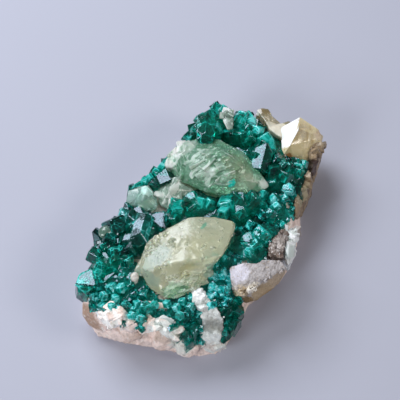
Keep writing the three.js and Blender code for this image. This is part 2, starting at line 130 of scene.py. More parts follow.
@contextmanager
def editing(obj: Object) -> Iterator[None]:
    """Edit mode on one object, with nothing in it selected at the start."""
    only(obj)
    bpy.ops.object.mode_set(mode="EDIT")
    bpy.ops.mesh.select_all(action="DESELECT")
    yield
    bpy.ops.object.mode_set(mode="OBJECT")


def strike_off(point: Sequence[float], outward: Sequence[float]) -> None:
    """Cuts the mesh being edited along a plane and closes it.

    Args:
        point: A point of the plane.
        outward: The direction of the side that is lost.
    """
    bpy.ops.mesh.select_all(action="SELECT")
    bpy.ops.mesh.bisect(plane_co=point, plane_no=outward, use_fill=True, clear_outer=True)


def wear_edges(width: float, segments: int = 2) -> None:
    """Wears every edge of the mesh being edited.

    Args:
        width: Width of the worn edge, in the mesh's own units.
        segments: How many narrow faces round it off.
    """
    bpy.ops.mesh.select_all(action="SELECT")
    bpy.ops.mesh.bevel(offset=width, segments=segments, affect="EDGES")


def merge_flats(angle: float) -> None:
    """Joins the faces of the mesh being edited that meet at less than this angle, in degrees."""
    bpy.ops.mesh.select_all(action="SELECT")
    bpy.ops.mesh.dissolve_limited(angle_limit=math.radians(angle))


def settle(obj: Object) -> Object:
    """Moves an object's place, turn and scale into its mesh."""
    only(obj)
    bpy.ops.object.transform_apply(location=True, rotation=True, scale=True)
    return obj


def finish_with(obj: Object, kind: str, **settings: object) -> None:
    """Adds one modifier with its settings and applies it.

    Args:
        obj: The piece.
        kind: The modifier's type.
        settings: Its values by name.
    """
    only(obj)
    modifier = obj.modifiers.new(kind.title(), kind)
    for name, value in settings.items():
        setattr(modifier, name, value)
    bpy.ops.object.modifier_apply(modifier=modifier.name)


def add_object(name: str, data: bpy.types.ID) -> Object:
    """A new object for a mesh, a camera or a light, in the scene's collection."""
    obj = bpy.data.objects.new(name, data)
    bpy.context.scene.collection.objects.link(obj)
    return obj


def grow_together(base: Object, others: Sequence[Object]) -> Object:
    """Joins overlapping closed solids in one solid.

    Args:
        base: The solid that stays.
        others: The solids that are joined to it and removed.

    Returns:
        The base.
    """
    if not others:
        return base
    gathered = bpy.data.collections.new("gathered")
    for other in others:
        gathered.objects.link(other)
    finish_with(base, "BOOLEAN", operation="UNION", operand_type="COLLECTION", collection=gathered,
                solver="MANIFOLD")
    for other in others:
        bpy.data.objects.remove(other)
    bpy.data.collections.remove(gathered)
    return base


def copy_of_node(node: str, name: str) -> Object:
    """A merged copy of a frame solid, as the start of the piece that stands for it."""
    mesh = bpy.data.objects[node].data.copy()
    mesh.materials.clear()
    piece = add_object(name, mesh)
    with editing(piece):
        bpy.ops.mesh.select_all(action="SELECT")
        bpy.ops.mesh.remove_doubles(threshold=MERGE * MM)
    return piece


def noise_texture(kind: str, size: float) -> bpy.types.Texture:
    """A solid noise, CLOUDS or VORONOI, with features of this many mm."""
    texture = bpy.data.textures.new(f"{kind.lower()}_{size:g}", kind)
    texture.noise_scale = size * MM
    return texture


# Materials -------------------------------------------------------------------------------------------


def wire(node: bpy.types.Node, settings: Settings) -> None:
    """Gives a node its settings and links.

    Args:
        node: The node.
        settings: Each by the name of a property, or by the name or number of an input. An input that
            is given a socket is linked to it.
    """
    for name, value in settings.items():
        if isinstance(value, Socket):
            node.id_data.links.new(value, node.inputs[name])
        elif isinstance(name, str) and hasattr(node, name):
            setattr(node, name, value)
        else:
            node.inputs[name].default_value = value


def add_node(tree: Tree, kind: str, settings: Settings, out: str | int = 0) -> Socket:
    """Adds a node with its settings and links.

    Args:
        tree: The material's node tree.
        kind: The node's type, without its usual beginning.
        settings: Its settings and links, as wire takes them.
        out: Name or number of the output to use.

    Returns:
        That output's socket.
    """
    node = tree.nodes.new("ShaderNode" + kind)
    wire(node, settings)
    return node.outputs[out]


def spans(given: Span = (0.0, 1.0), wanted: Span = (0.0, 1.0)) -> Settings:
    """The settings, by input number, that turn one span of values into another."""
    return dict(enumerate((*given, *wanted), start=1))


def per_metre(size: float) -> float:
    """The scale of a pattern whose features are this many mm across."""
    return 1 / (size * MM)


@dataclass(frozen=True)
class Zone:
    """A round stretch of the specimen.

    Attributes:
        centre: Its middle, in growth-plan mm.
        radii: Its half sizes along X, Y and Z, in mm.
    """

    centre: Point
    radii: Point
    EDGE = 0.35

    def weight(self, point: Vector) -> float:
        """How far a point, in metres, lies inside: 1 in the middle and 0 outside, soft over the edge."""
        plan = plan_of(point)
        away = math.sqrt(sum(((p - c) / r) ** 2 for p, c, r in zip(plan, self.centre, self.radii)))
        return min(1.0, max(0.0, (1 - away) / self.EDGE))


@dataclass(frozen=True)
class Patch:
    """A stretch of a surface with its own colour.

    Attributes:
        centre: Its middle, in growth-plan mm.
        radii: Its half sizes along X, Y and Z, in mm.
        colour: Its hex colour.
        strength: How far it covers what is under it, from 0 to 1.
        ragged: Size of the noise that breaks its edge, in mm.
        facing: Only faces that look this way take it, where it is given.
        frost: How much rougher it is than the rest, from 0 to 1.
    """

    centre: Point
    radii: Point
    colour: str
    strength: float = 1.0
    ragged: float = 2.0
    facing: Point | None = None
    frost: float = 1.0
    BREAK = 0.9                     # how much the noise counts in its edge
    EDGE = (0.55, 0.8)              # where the sum of noise and nearness turns from outside to inside
    FACING_EDGE = (0.86, 0.9)       # cosine between a face and the given way, from outside to inside

    def mask(self, tree: Tree, where: Socket) -> Socket:
        """The socket that is 1 inside the patch and 0 outside, with a broken edge."""
        size = [per_metre(radius) for radius in self.radii]
        moved = add_node(tree, "Mapping", {
            "Vector": where, "Location": [-c * s for c, s in zip(place(*self.centre), size)], "Scale": size})
        ball = add_node(tree, "TexGradient", {"gradient_type": "SPHERICAL", "Vector": moved}, 1)
        grain = add_node(tree, "TexNoise", {"Vector": where, "Scale": per_metre(self.ragged), "Detail": 4.0})
        mixed = add_node(tree, "Math", {"operation": "MULTIPLY_ADD", 0: grain, 1: self.BREAK, 2: ball})
        inside = add_node(tree, "MapRange", {0: mixed, **spans(self.EDGE, (0.0, self.strength))})
        if self.facing:
            turned = add_node(tree, "VectorMath", {
                "operation": "DOT_PRODUCT", 0: add_node(tree, "NewGeometry", {}, "True Normal"),
                1: Vector(self.facing).normalized()}, "Value")
            faced = add_node(tree, "MapRange", {0: turned, **spans(self.FACING_EDGE)})
            inside = add_node(tree, "Math", {"operation": "MULTIPLY", 0: inside, 1: faced})
        return inside


class Finish:
    """What all finishes share: a named material, which each gives its own look."""

    name: str

    def make(self) -> bpy.types.Material:
        """Makes the material."""
        material = bpy.data.materials.new(self.name)
        material.use_nodes = True
        tree = material.node_tree
        where = add_node(tree, "TexCoord", {}, "Object")
        wire(tree.nodes["Principled BSDF"], self.look(tree, where))
        return material

    def look(self, tree: Tree, where: Socket) -> Settings:
        """Adds the patterns of this finish.

        Args:
            tree: The material's node tree.
            where: The Object coordinates.

        Returns:
            What the Principled shader takes, by the names of its inputs.
        """
        raise NotImplementedError


@dataclass(frozen=True)
class DioptaseFinish(Finish):
    """Dioptase: a glassy copper silicate, clear in thin edges and nearly black where it is deep.

    Each crystal carries a tone from 0 to 1, because how light one looks depends on how clear it grew.
    Inside it, healed cracks part it in zones, each a little lighter or darker and a little askew.

    Attributes:
        name: The material's name.
        deep: Hex colour of the darkest stretches.
        middle: Hex colour half way.
        bright: Hex colour of the light stretches.
        palest: Hex colour of the painted highlight on the worn edges, and of the cracks.
        clearest: Share of the light that goes in where it is dark.
        cloudiest: Share of the light that goes in where it is light.
        ior: Its refractive index.
        roughness: Roughness of its faces.
        body: Hex colour of its inside.
        density: Absorption inside, for each metre.
        zone: Size of the zones, in mm.
        cloud: Size of the clouds, in mm.
        crack: Between cracks, in mm.
        askew: How far the zones' reflections differ.
        sheen: Hex colour of its reflections.
        polish: How strong its reflections are.
    """

    name: str = "dioptase"
    deep: str = "#02705f"
    middle: str = "#02b8a0"
    bright: str = "#26e0d4"
    palest: str = "#7fe8e4"
    clearest: float = 0.9
    cloudiest: float = 0.3
    ior: float = 1.66
    roughness: float = 0.08
    body: str = "#0cd8c6"
    density: float = 120.0
    zone: float = 2.6
    cloud: float = 3.0
    crack: float = 2.8
    askew: float = 0.08
    sheen: str = "#dcecff"
    polish: float = 0.26
    ZONE_TONE = 0.6                 # how much the zones and the clouds change the tone
    CLOUD_TONE = 2.2
    CRACK_WIDTH = (0.0, 0.05)
    CRACK_TONE = (0.5, 0.0)
    TONES = (1.2, 2.6)              # the summed tone, from the darkest to the palest
    CLEARING = (0.35, 0.85)
    STOPS = (0.1, 0.5, 0.8, 1.0)
    HILLOCK = 0.6                   # growth hillocks that break the reflection in each face, in mm
    HILLOCK_DEPTH = 0.1

    def look(self, tree: Tree, where: Socket) -> Settings:
        """Adds the tones, the zones and cracks, the hillocks and the clear inside."""
        tone = add_node(tree, "Attribute", {"attribute_name": "tone"}, "Fac")
        zones = add_node(tree, "TexVoronoi", {"Vector": where, "Scale": per_metre(self.zone)}, "Color")
        zone_tone = add_node(tree, "SeparateColor", {0: zones})
        shift = add_node(tree, "Math", {
            "operation": "MULTIPLY_ADD", 0: zone_tone, 1: self.ZONE_TONE, 2: tone})
        cloud = add_node(tree, "TexNoise", {
            "Vector": where, "Scale": per_metre(self.cloud), "Detail": 5.0, "Roughness": 0.65,
            "Distortion": 1.2})
        level = add_node(tree, "Math", {"operation": "MULTIPLY_ADD", 0: cloud, 1: self.CLOUD_TONE, 2: shift})
        cracks = add_node(tree, "TexVoronoi", {
            "feature": "DISTANCE_TO_EDGE", "Vector": where, "Scale": per_metre(self.crack)}, "Distance")
        pale = add_node(tree, "MapRange", {0: cracks, **spans(self.CRACK_WIDTH, self.CRACK_TONE)})
        lit = add_node(tree, "Math", {"operation": "ADD", 0: level, 1: pale})
        part = add_node(tree, "MapRange", {0: lit, **spans(self.TONES)})
        ramp = add_node(tree, "ValToRGB", {"Fac": part})
        first, middle, bright, last = self.STOPS
        stops = ramp.node.color_ramp.elements
        stops[0].position, stops[0].color = first, linear(self.deep)
        stops[1].position, stops[1].color = last, linear(self.palest)
        stops.new(middle).color = linear(self.middle)
        stops.new(bright).color = linear(self.bright)
        tilt = add_node(tree, "VectorMath", {
            "operation": "MULTIPLY_ADD", 0: zones, 1: [self.askew] * 3, 2: [-self.askew / 2] * 3})
        tilted = add_node(tree, "VectorMath", {
            "operation": "ADD", 0: add_node(tree, "NewGeometry", {}, "Normal"), 1: tilt})
        facing = add_node(tree, "VectorMath", {"operation": "NORMALIZE", 0: tilted})
        hillocks = add_node(tree, "TexNoise", {"Vector": where, "Scale": per_metre(self.HILLOCK)})
        bump = add_node(tree, "Bump", {
            "Strength": 0.15, "Distance": self.HILLOCK_DEPTH * MM, "Height": hillocks, "Normal": facing})
        clear = add_node(tree, "MapRange", {
            0: part, **spans(self.CLEARING, (self.clearest, self.cloudiest))})
        inside = add_node(tree, "VolumeAbsorption", {
            "Color": linear(self.body), "Density": self.density})
        wire(tree.nodes["Material Output"], {"Volume": inside})
        return {"Base Color": ramp, "Normal": bump, "Roughness": self.roughness, "IOR": self.ior,
                "Specular IOR Level": self.polish, "Specular Tint": linear(self.sheen),
                "Transmission Weight": clear}


@dataclass(frozen=True)
class Scales:
    """Shell-like hollows with sharp ridges between them, as etching leaves on calcite, with painted
    highlight on the ridges and painted shade on the floors.

    Attributes:
        region: Where they are; its colour is that of the ridges, their frost and painted highlight.
        size: Their width, in mm.
        stretch: How much longer than wide they are.
        along: Direction of their length in plan, in degrees.
        depth: Their depth, in mm.
        floor_shade: Hex colour of their floors, a painted shade.
        pale: How far the ridges take their colour, frost and painted highlight, from 0 to 1.
    """

    region: Patch
    size: float
    stretch: float
    along: float
    depth: float
    floor_shade: str
    pale: float = 0.7
    WANDER = 1.6                    # how far their outlines wander, in widths
    RIDGE = (0.42, 0.75)            # distances from a hollow's middle, in widths
    # where the floors take the painted shade, and how much
    FLOOR = (0.45, 0.1)
    FLOOR_SHADE_SHARE = 0.75

    def dress(self, tree: Tree, where: Socket, colour: Socket, normal: Socket | None
              ) -> tuple[Socket, Socket, Socket]:
        """Lays the scales over a surface.

        Args:
            tree: The material's node tree.
            where: The Object coordinates.
            colour: The colour under them.
            normal: The normal under them, or None for the plain surface.

        Returns:
            The new colour, the new normal, and the socket that is 1 on the ridges.
        """
        inside = self.region.mask(tree, where)
        stir = add_node(tree, "TexNoise", {
            "Vector": where, "Scale": per_metre(2 * self.size), "Detail": 3.0}, "Color")
        bent = add_node(tree, "VectorMath", {
            "operation": "MULTIPLY_ADD", 0: stir, 1: [self.WANDER * self.size * MM] * 3, 2: where})
        laid = add_node(tree, "Mapping", {
            "vector_type": "TEXTURE", "Vector": bent, "Rotation": (0, 0, math.radians(self.along)),
            "Scale": (self.stretch * self.size * MM, self.size * MM, self.size * MM)})
        away = add_node(tree, "TexVoronoi", {"Vector": laid, "Scale": 1.0}, "Distance")
        height = add_node(tree, "Math", {"operation": "MULTIPLY", 0: away, 1: inside})
        ridge = add_node(tree, "MapRange", {0: height, **spans(self.RIDGE, (0.0, self.pale))})
        floor = add_node(tree, "MapRange", {0: away, **spans(self.FLOOR, (0.0, self.FLOOR_SHADE_SHARE))})
        sunk = add_node(tree, "Math", {"operation": "MULTIPLY", 0: floor, 1: inside})
        # painted shade on the floors, then frost and painted highlight on the ridges
        for share, code in ((sunk, self.floor_shade), (ridge, self.region.colour)):
            colour = add_node(tree, "Mix", {"data_type": "RGBA", 0: share, 6: colour, 7: linear(code)}, 2)
        bump = add_node(tree, "Bump", {
            "Distance": self.depth * MM, "Height": height, **({"Normal": normal} if normal else {})})
        return colour, bump, ridge


@dataclass(frozen=True)
class CalciteFinish(Finish):
    """Calcite: clear inside, with milky veils and frosted, etched stretches on its faces.

    Attributes:
        name: The material's name.
        clear: Hex colour of the clear stretches.
        milky: Hex colour of the veils.
        veil: Size of the veils, in mm.
        milk: How much of the surface is milky, from 0 to 1.
        transmission: Share of the light that goes in.
        worn: How white its raised edges are, as wear and painted highlight, from 0 to 1.
        patches: Stretches with their own colour.
        scales: Stretches with shell-like hollows.
        roughness: Roughness of a clean face.
        density: Absorption inside, for each metre.
        grain: Size of the etched grain, in mm.
        relief: Depth of the etched grain, in mm.
        ior: Its refractive index.
        glow: Share of the light that spreads under its skin.
        glow_depth: How far that light spreads, in mm.
    """

    name: str
    clear: str
    milky: str
    veil: float = 3.0
    milk: float = 0.4
    transmission: float = 0.72
    worn: float = 0.6
    patches: tuple[Patch, ...] = ()
    scales: tuple[Scales, ...] = ()
    roughness: float = 0.14
    density: float = 25.0
    grain: float = 0.5
    relief: float = 0.12
    ior: float = 1.6
    glow: float = 0.3
    glow_depth: float = 2.0
    VEIL_EDGES = (0.72, 0.98)       # of the noise, less half the milk
    RAISED = (0.51, 0.6)            # pointiness of raised edges, white as wear and painted highlight, and of hollows, dark as painted shade
    SUNKEN = (0.49, 0.42)
    # painted shade in the hollows: how much, and its colour
    HOLLOW_SHADE_SHARE = 0.35
    HOLLOW_SHADE_COLOUR = "#4d6a58"
    # colour of the raised edges: wear and painted highlight
    WORN_AND_HIGHLIGHT_COLOUR = "#f4f7ef"
    FROSTED_LIGHT = 0.2             # share of the light that still goes in where it is frosted
    FROSTED_ROUGHNESS = 0.35        # added where it is frosted
    ETCHING = (0.25, 1.0)           # strength of the etched grain, from clean to frosted

    def look(self, tree: Tree, where: Socket) -> Settings:
        """Adds the veils, the worn edges with their painted highlight, the painted shade in hollows, the
        patches, the scales and the clear inside.
        """
        veils = add_node(tree, "TexNoise", {
            "Vector": where, "Scale": per_metre(self.veil), "Detail": 6.0, "Roughness": 0.62,
            "Distortion": 0.8})
        milk = add_node(tree, "MapRange", {
            0: veils, **spans(tuple(edge - 0.5 * self.milk for edge in self.VEIL_EDGES))})
        edges = add_node(tree, "NewGeometry", {}, "Pointiness")
        worn = add_node(tree, "MapRange", {0: edges, **spans(self.RAISED, (0.0, self.worn))})
        sunk = add_node(tree, "MapRange", {0: edges, **spans(self.SUNKEN, (0.0, self.HOLLOW_SHADE_SHARE))})
        colour = linear(self.clear)
        # milky veils, then painted shade in the hollows, then wear and painted highlight on the raised edges
        for share, code in ((milk, self.milky), (sunk, self.HOLLOW_SHADE_COLOUR), (worn, self.WORN_AND_HIGHLIGHT_COLOUR)):
            colour = add_node(tree, "Mix", {"data_type": "RGBA", 0: share, 6: colour, 7: linear(code)}, 2)
        frost = add_node(tree, "Math", {"operation": "MAXIMUM", 0: milk, 1: worn})
        for patch in self.patches:
            mask = patch.mask(tree, where)
            colour = add_node(tree, "Mix", {
                "data_type": "RGBA", 0: mask, 6: colour, 7: linear(patch.colour)}, 2)
            frosted = add_node(tree, "Math", {"operation": "MULTIPLY", 0: mask, 1: patch.frost})
            frost = add_node(tree, "Math", {"operation": "MAXIMUM", 0: frost, 1: frosted})
        shape = None
        for scales in self.scales:
            colour, shape, ridge = scales.dress(tree, where, colour, shape)
            frost = add_node(tree, "Math", {"operation": "MAXIMUM", 0: frost, 1: ridge})
        clear, dull, depth = (add_node(tree, "MapRange", {0: frost, **spans(wanted=wanted)}) for wanted in (
            (self.transmission, self.FROSTED_LIGHT * self.transmission),
            (self.roughness, self.roughness + self.FROSTED_ROUGHNESS), self.ETCHING))
        etch = add_node(tree, "TexNoise", {
            "Vector": where, "Scale": per_metre(self.grain), "Detail": 4.0, "Roughness": 0.65})
        bump = add_node(tree, "Bump", {
            "Distance": self.relief * MM, "Height": etch, "Strength": depth,
            **({"Normal": shape} if shape else {})})
        inside = add_node(tree, "VolumeAbsorption", {
            "Color": linear(self.clear), "Density": self.density})
        wire(tree.nodes["Material Output"], {"Volume": inside})
        return {"Base Color": colour, "Normal": bump, "Roughness": dull, "IOR": self.ior,
                "Transmission Weight": clear, "Subsurface Weight": self.glow,
                "Subsurface Radius": (1.0, 1.0, 0.9), "Subsurface Scale": self.glow_depth * MM}


@dataclass(frozen=True)
class StoneFinish(Finish):
    """Broken rock: sugary grains with stains, dull, glinting only where a cleavage face catches light.

    Attributes:
        name: The material's name.
        light: Hex colour of most grains.
        dark: Hex colour of the stained grains.
        blotch: Size of the stains, in mm.
        stain: How much is stained, from 0 to 1.
        roughness: Roughness between the glinting grains.
        grain: Size of a grain, in mm.
        relief: Depth between grains, in mm.
        glint: Share of grains that glint.
        patches: Stretches with their own colour.
    """

    name: str
    light: str
    dark: str
    blotch: float = 4.0
    stain: float = 0.4
    roughness: float = 0.75
    grain: float = 0.6
    relief: float = 0.2
    glint: float = 0.12
    patches: tuple[Patch, ...] = ()
    STAIN_EDGES = (0.7, 0.9)        # of the noise, less 0.4 of the stain
    SHADES = (0.82, 1.08)           # brightness of the grains
    GLINT_ROUGHNESS = 0.12
    GLINT_EDGE = 0.02

    def look(self, tree: Tree, where: Socket) -> Settings:
        """Adds the stains, the patches and the grains."""
        stains = add_node(tree, "TexNoise", {
            "Vector": where, "Scale": per_metre(self.blotch), "Detail": 6.0, "Roughness": 0.6})
        share = add_node(tree, "MapRange", {
            0: stains, **spans(tuple(edge - 0.4 * self.stain for edge in self.STAIN_EDGES))})
        colour = linear(self.light)
        for part, code in ((share, self.dark), *((patch.mask(tree, where), patch.colour)
                                                 for patch in self.patches)):
            colour = add_node(tree, "Mix", {"data_type": "RGBA", 0: part, 6: colour, 7: linear(code)}, 2)
        grains = add_node(tree, "TexVoronoi", {"Vector": where, "Scale": per_metre(self.grain)}, "Color")
        shade = add_node(tree, "MapRange", {0: grains, **spans(wanted=self.SHADES)})
        colour = add_node(tree, "Mix", {
            "data_type": "RGBA", "blend_type": "MULTIPLY", 0: 1.0, 6: colour, 7: shade}, 2)
        shiny = add_node(tree, "MapRange", {0: grains, **spans(
            (self.glint, self.glint + self.GLINT_EDGE), (self.GLINT_ROUGHNESS, self.roughness))})
        bump = add_node(tree, "Bump", {
            "Strength": 0.7, "Distance": self.relief * MM, "Height": grains.node.outputs["Distance"]})
        return {"Base Color": colour, "Roughness": shiny, "Normal": bump}


@dataclass(frozen=True)
class FloorFinish(Finish):
    """Matt painted board: pale, cool grey, with no gloss."""

    name: str = "painted board"
    colour: str = "#adafbc"

    def look(self, tree: Tree, where: Socket) -> Settings:
        """Sets the colour and the dullness."""
        return {"Base Color": linear(self.colour), "Roughness": 0.9}


# Crystals --------------------------------------------------------------------------------------------


class Habit(Enum):
    """How a dioptase crystal's tip ends.

    Each value gives the height at which the three cap faces cut the axis, and then the height of the
    flat face where the tip broke off, in radii from the tip.
    """

    EVEN = (0.0, 0.0, 0.0, 0.0)
    CHISEL = (0.0, -0.75, -0.15, 0.0)
    WEDGE = (-0.1, -0.2, -1.1, 0.0)
    BLUNT = (0.0, 0.12, -0.3, -0.3)
    BROKEN = (0.0, 0.35, -0.1, -0.75)


@dataclass
class Stem:
    """One large crystal of a stand.

    Attributes:
        x: Place of its tip in plan, in mm.
        y: Place of its tip in plan, in mm.
        radius: From its axis to a prism edge, in mm.
        tone: How light it is, from 0 to 1.
        lean: Degrees from upright.
        toward: Compass direction of the lean, in degrees from +X.
        twist: Turn about its own axis, in degrees.
        rise: How far its tip stands over the stand's level, in mm; by default from its radius.
        habit: How its tip ends.
        lying: Whether it lies on its side, pointing that way, with a prism face up.
    """

    x: float
    y: float
    radius: float
    tone: float = 0.35
    lean: float = 14.0
    toward: float = 200.0
    twist: float = 0.0
    rise: float | None = None
    habit: Habit = Habit.EVEN
    lying: bool = False


class CrystalBench:
    """Cuts one crystal of each habit, of unit radius with its tip at the origin, and copies them."""

    LENGTH = 3.4                    # from the tip to the foot, in radii
    EDGE = 0.035                    # width of its worn edges
    NARROW = 0.06                   # area under which a face counts as a worn edge
    EDGE_HIGHLIGHT = 0.3                     # painted highlight: how much lighter a worn edge is painted
    SPREAD = 0.27                   # most that a face differs in tone
    STEP_UP = 0.3                   # faces that look up more than this, and are larger
    STEP_AREA = 0.2                 # than this, carry a growth step
    STEP_INSET = 0.13
    STEP_HEIGHT = 0.05

    def __init__(self) -> None:
        """Cuts the crystals."""
        self.masters = {(habit, fine): self.cut(habit, fine) for habit in Habit for fine in (False, True)}

    def cut(self, habit: Habit, fine: bool) -> bpy.types.Mesh:
        """Cuts one crystal from a hexagonal bar.

        Args:
            habit: How the tip grew.
            fine: Whether it is one of the many small crystals, which have plain faces.

        Returns:
            Its mesh.
        """
        bpy.ops.mesh.primitive_cylinder_add(vertices=6, radius=1, depth=self.LENGTH,
                                            location=(0, 0, -self.LENGTH / 2))
        bar = settle(bpy.context.object)
        tilts = (CAP_TILT, CAP_TILT, CAP_TILT, 0.0)
        with editing(bar):
            for side, (height, tilt) in enumerate(zip(habit.value, tilts)):
                strike_off((0, 0, height), leaning(tilt, 120 * side + 90))
        if not fine:
            self.add_growth_steps(bar)
        with editing(bar):
            wear_edges(self.EDGE, 1)
        mesh = bar.data
        rng = random.Random(habit.name)
        # worn edges take the painted highlight, the other faces a random tone
        shade = [self.EDGE_HIGHLIGHT if face.area < self.NARROW else rng.uniform(-self.SPREAD, self.SPREAD)
                 for face in mesh.polygons]
        mesh.attributes.new("tone", "FLOAT", "FACE").data.foreach_set("value", shade)
        bpy.data.objects.remove(bar)
        return mesh

    def add_growth_steps(self, bar: Object) -> None:
        """Raises a low step on each large cap face."""
        for face in bar.data.polygons:
            face.select = face.normal.z > self.STEP_UP and face.area > self.STEP_AREA
        only(bar)
        bpy.ops.object.mode_set(mode="EDIT")
        bpy.ops.mesh.inset(thickness=self.STEP_INSET, depth=self.STEP_HEIGHT, use_individual=True)
        bpy.ops.object.mode_set(mode="OBJECT")

    def copy(self, habit: Habit, fine: bool, tone: float, matrix: Matrix) -> Object:
        """A crystal in place.

        Args:
            habit: How the tip grew.
            fine: Whether it is a small plain one.
            tone: How light it is.
            matrix: Its place, turn and size.

        Returns:
            The crystal's object.
        """
        mesh = self.masters[habit, fine].copy()
        mesh.transform(matrix)
        for face in mesh.attributes["tone"].data:
            face.value += tone
        return add_object("crystal", mesh)


class Surfaces:
    """The frame's solids as surfaces that crystals can be seated on.

    Attributes:
        rock: The rock's triangles.
        calcite: The triangles of all calcites.
        walls: Places on the rock's side, each with its outward direction.
    """

    LOW_SEAT = 9.0                  # a seat lower than this, in mm, moves to the rock's side
    WALL_HEIGHT = 10.8              # height of that seat on the side, in mm
    WALL_ROWS = tuple(3.4 + 1.4 * row for row in range(7))      # heights of the rows of places, in mm
    WALL_STEP = 1.5                 # between the places of a row, in mm
    WALL_JITTER = 0.4               # most that a place strays from its row, in mm
    WALL_TURNS = 720                # directions that are tried for each row
    WALL_SEED = 5
    ROCK_MIDDLE = (4.0, -1.0)       # in growth-plan mm
    FAR = 60.0                      # outside the rock on every side, in mm
    ABOVE = 40.0                    # over everything, in mm

    def __init__(self, nodes: Iterable[str]) -> None:
        """Gathers the surfaces.

        Args:
            nodes: The names of the frame's solids.
        """
        self.rock = self.tree_of(["matrix_rock"])
        self.calcite = self.tree_of(sorted(name for name in nodes if name.startswith("calcite")))
        self.walls = list(self.find_walls())

    def find_walls(self) -> Iterator[tuple[Vector, Vector]]:
        """Places and outward directions round the rock's side, row by row."""
        rng = random.Random(self.WALL_SEED)
        last = None
        for height in self.WALL_ROWS:
            for step in range(self.WALL_TURNS):
                turn = math.radians(360 * step / self.WALL_TURNS)
                way = Vector((math.cos(turn), math.sin(turn), 0))
                stray = rng.uniform(-self.WALL_JITTER, self.WALL_JITTER)
                middle = place(*self.ROCK_MIDDLE, height + stray)
                point, normal, _, _ = self.rock.ray_cast(middle + way * self.FAR * MM, -way)
                if point is None or (last is not None and (point - last).length < self.WALL_STEP * MM):
                    continue
                last = point
                yield point, normal

    @staticmethod
    def tree_of(names: Sequence[str]) -> BVHTree:
        """A search tree over the triangles of some nodes."""
        points: list[Vector] = []
        faces: list[list[int]] = []
        for name in names:
            mesh = bpy.data.objects[name].data
            start = len(points)
            points.extend(vertex.co.copy() for vertex in mesh.vertices)
            faces.extend([start + index for index in face.vertices] for face in mesh.polygons)
        return BVHTree.FromPolygons(points, faces)

    def seat(self, x: float, y: float) -> tuple[Vector, Vector] | None:
        """Where a crystal can grow from the rock.

        Args:
            x: Place in plan, in mm.
            y: Place in plan, in mm.

        Returns:
            The point and the rock's outward direction there, or None under a calcite.
        """
        above = place(x, y, self.ABOVE)
        down = Vector((0, 0, -1))
        if self.calcite.ray_cast(above, down)[0] is not None:
            return None
        point, normal, _, _ = self.rock.ray_cast(above, down)
        if point is None or point.z < self.LOW_SEAT * MM:
            point, normal, _, _ = self.rock.find_nearest(place(x, y, self.WALL_HEIGHT))
        return point, normal


@dataclass(frozen=True)
class Layer:
    """One generation of small crystals over a stand's ground.

    Attributes:
        spacing: Between crystals, in mm.
        radius: Smallest and largest radius, in mm.
        rise: Least and most that a tip stands over the rock, in mm.
        wild: Largest lean, in degrees.
        clear: Share of a large crystal's radius that is kept free round its tip.
    """

    spacing: float
    radius: Span
    rise: Span
    wild: float
    clear: float


# Besides the usual dioptase: blackish crystals on the upper rim, deep ones in the middle, and fine,
# lively ones at the left end and on the inner right
DARK = DioptaseFinish(name="dark dioptase", deep="#05574d", middle="#0a8a7c", bright="#2cbcb2",
                      palest="#98d4d6", polish=0.55)
DEEP = DioptaseFinish(name="deep dioptase", middle="#02ae98", bright="#0ec0b0", palest="#46d4ca")
FINE = DioptaseFinish(name="fine dioptase", deep="#038678", middle="#06c4b4", bright="#2ee4dc",
                      palest="#96f0f0", zone=0.9, cloud=1.8, crack=1.6, askew=0.4)
# lighter colours for the inner right: partly a painted light over the lower calcite's shade
BRIGHT = DioptaseFinish(name="bright dioptase", deep="#02948a", middle="#04ccc4", bright="#30e6e6",
                        palest="#98f2f2", zone=0.9, cloud=1.8, crack=1.6, askew=0.4, density=70.0)
# Small crystals: a low carpet everywhere, fuller ones between the large crystals, and those on the side
CARPET = Layer(1.5, (0.8, 1.2), (1.0, 1.8), 60.0, 0.4)
FILL = Layer(2.8, (1.4, 2.1), (1.3, 2.2), 45.0, 1.2)
FINE_FILL = Layer(1.85, (0.85, 1.45), (1.1, 2.1), 60.0, 1.0)
SKIRT = Layer(1.5, (0.9, 1.5), (1.4, 2.3), 30.0, 0.3)


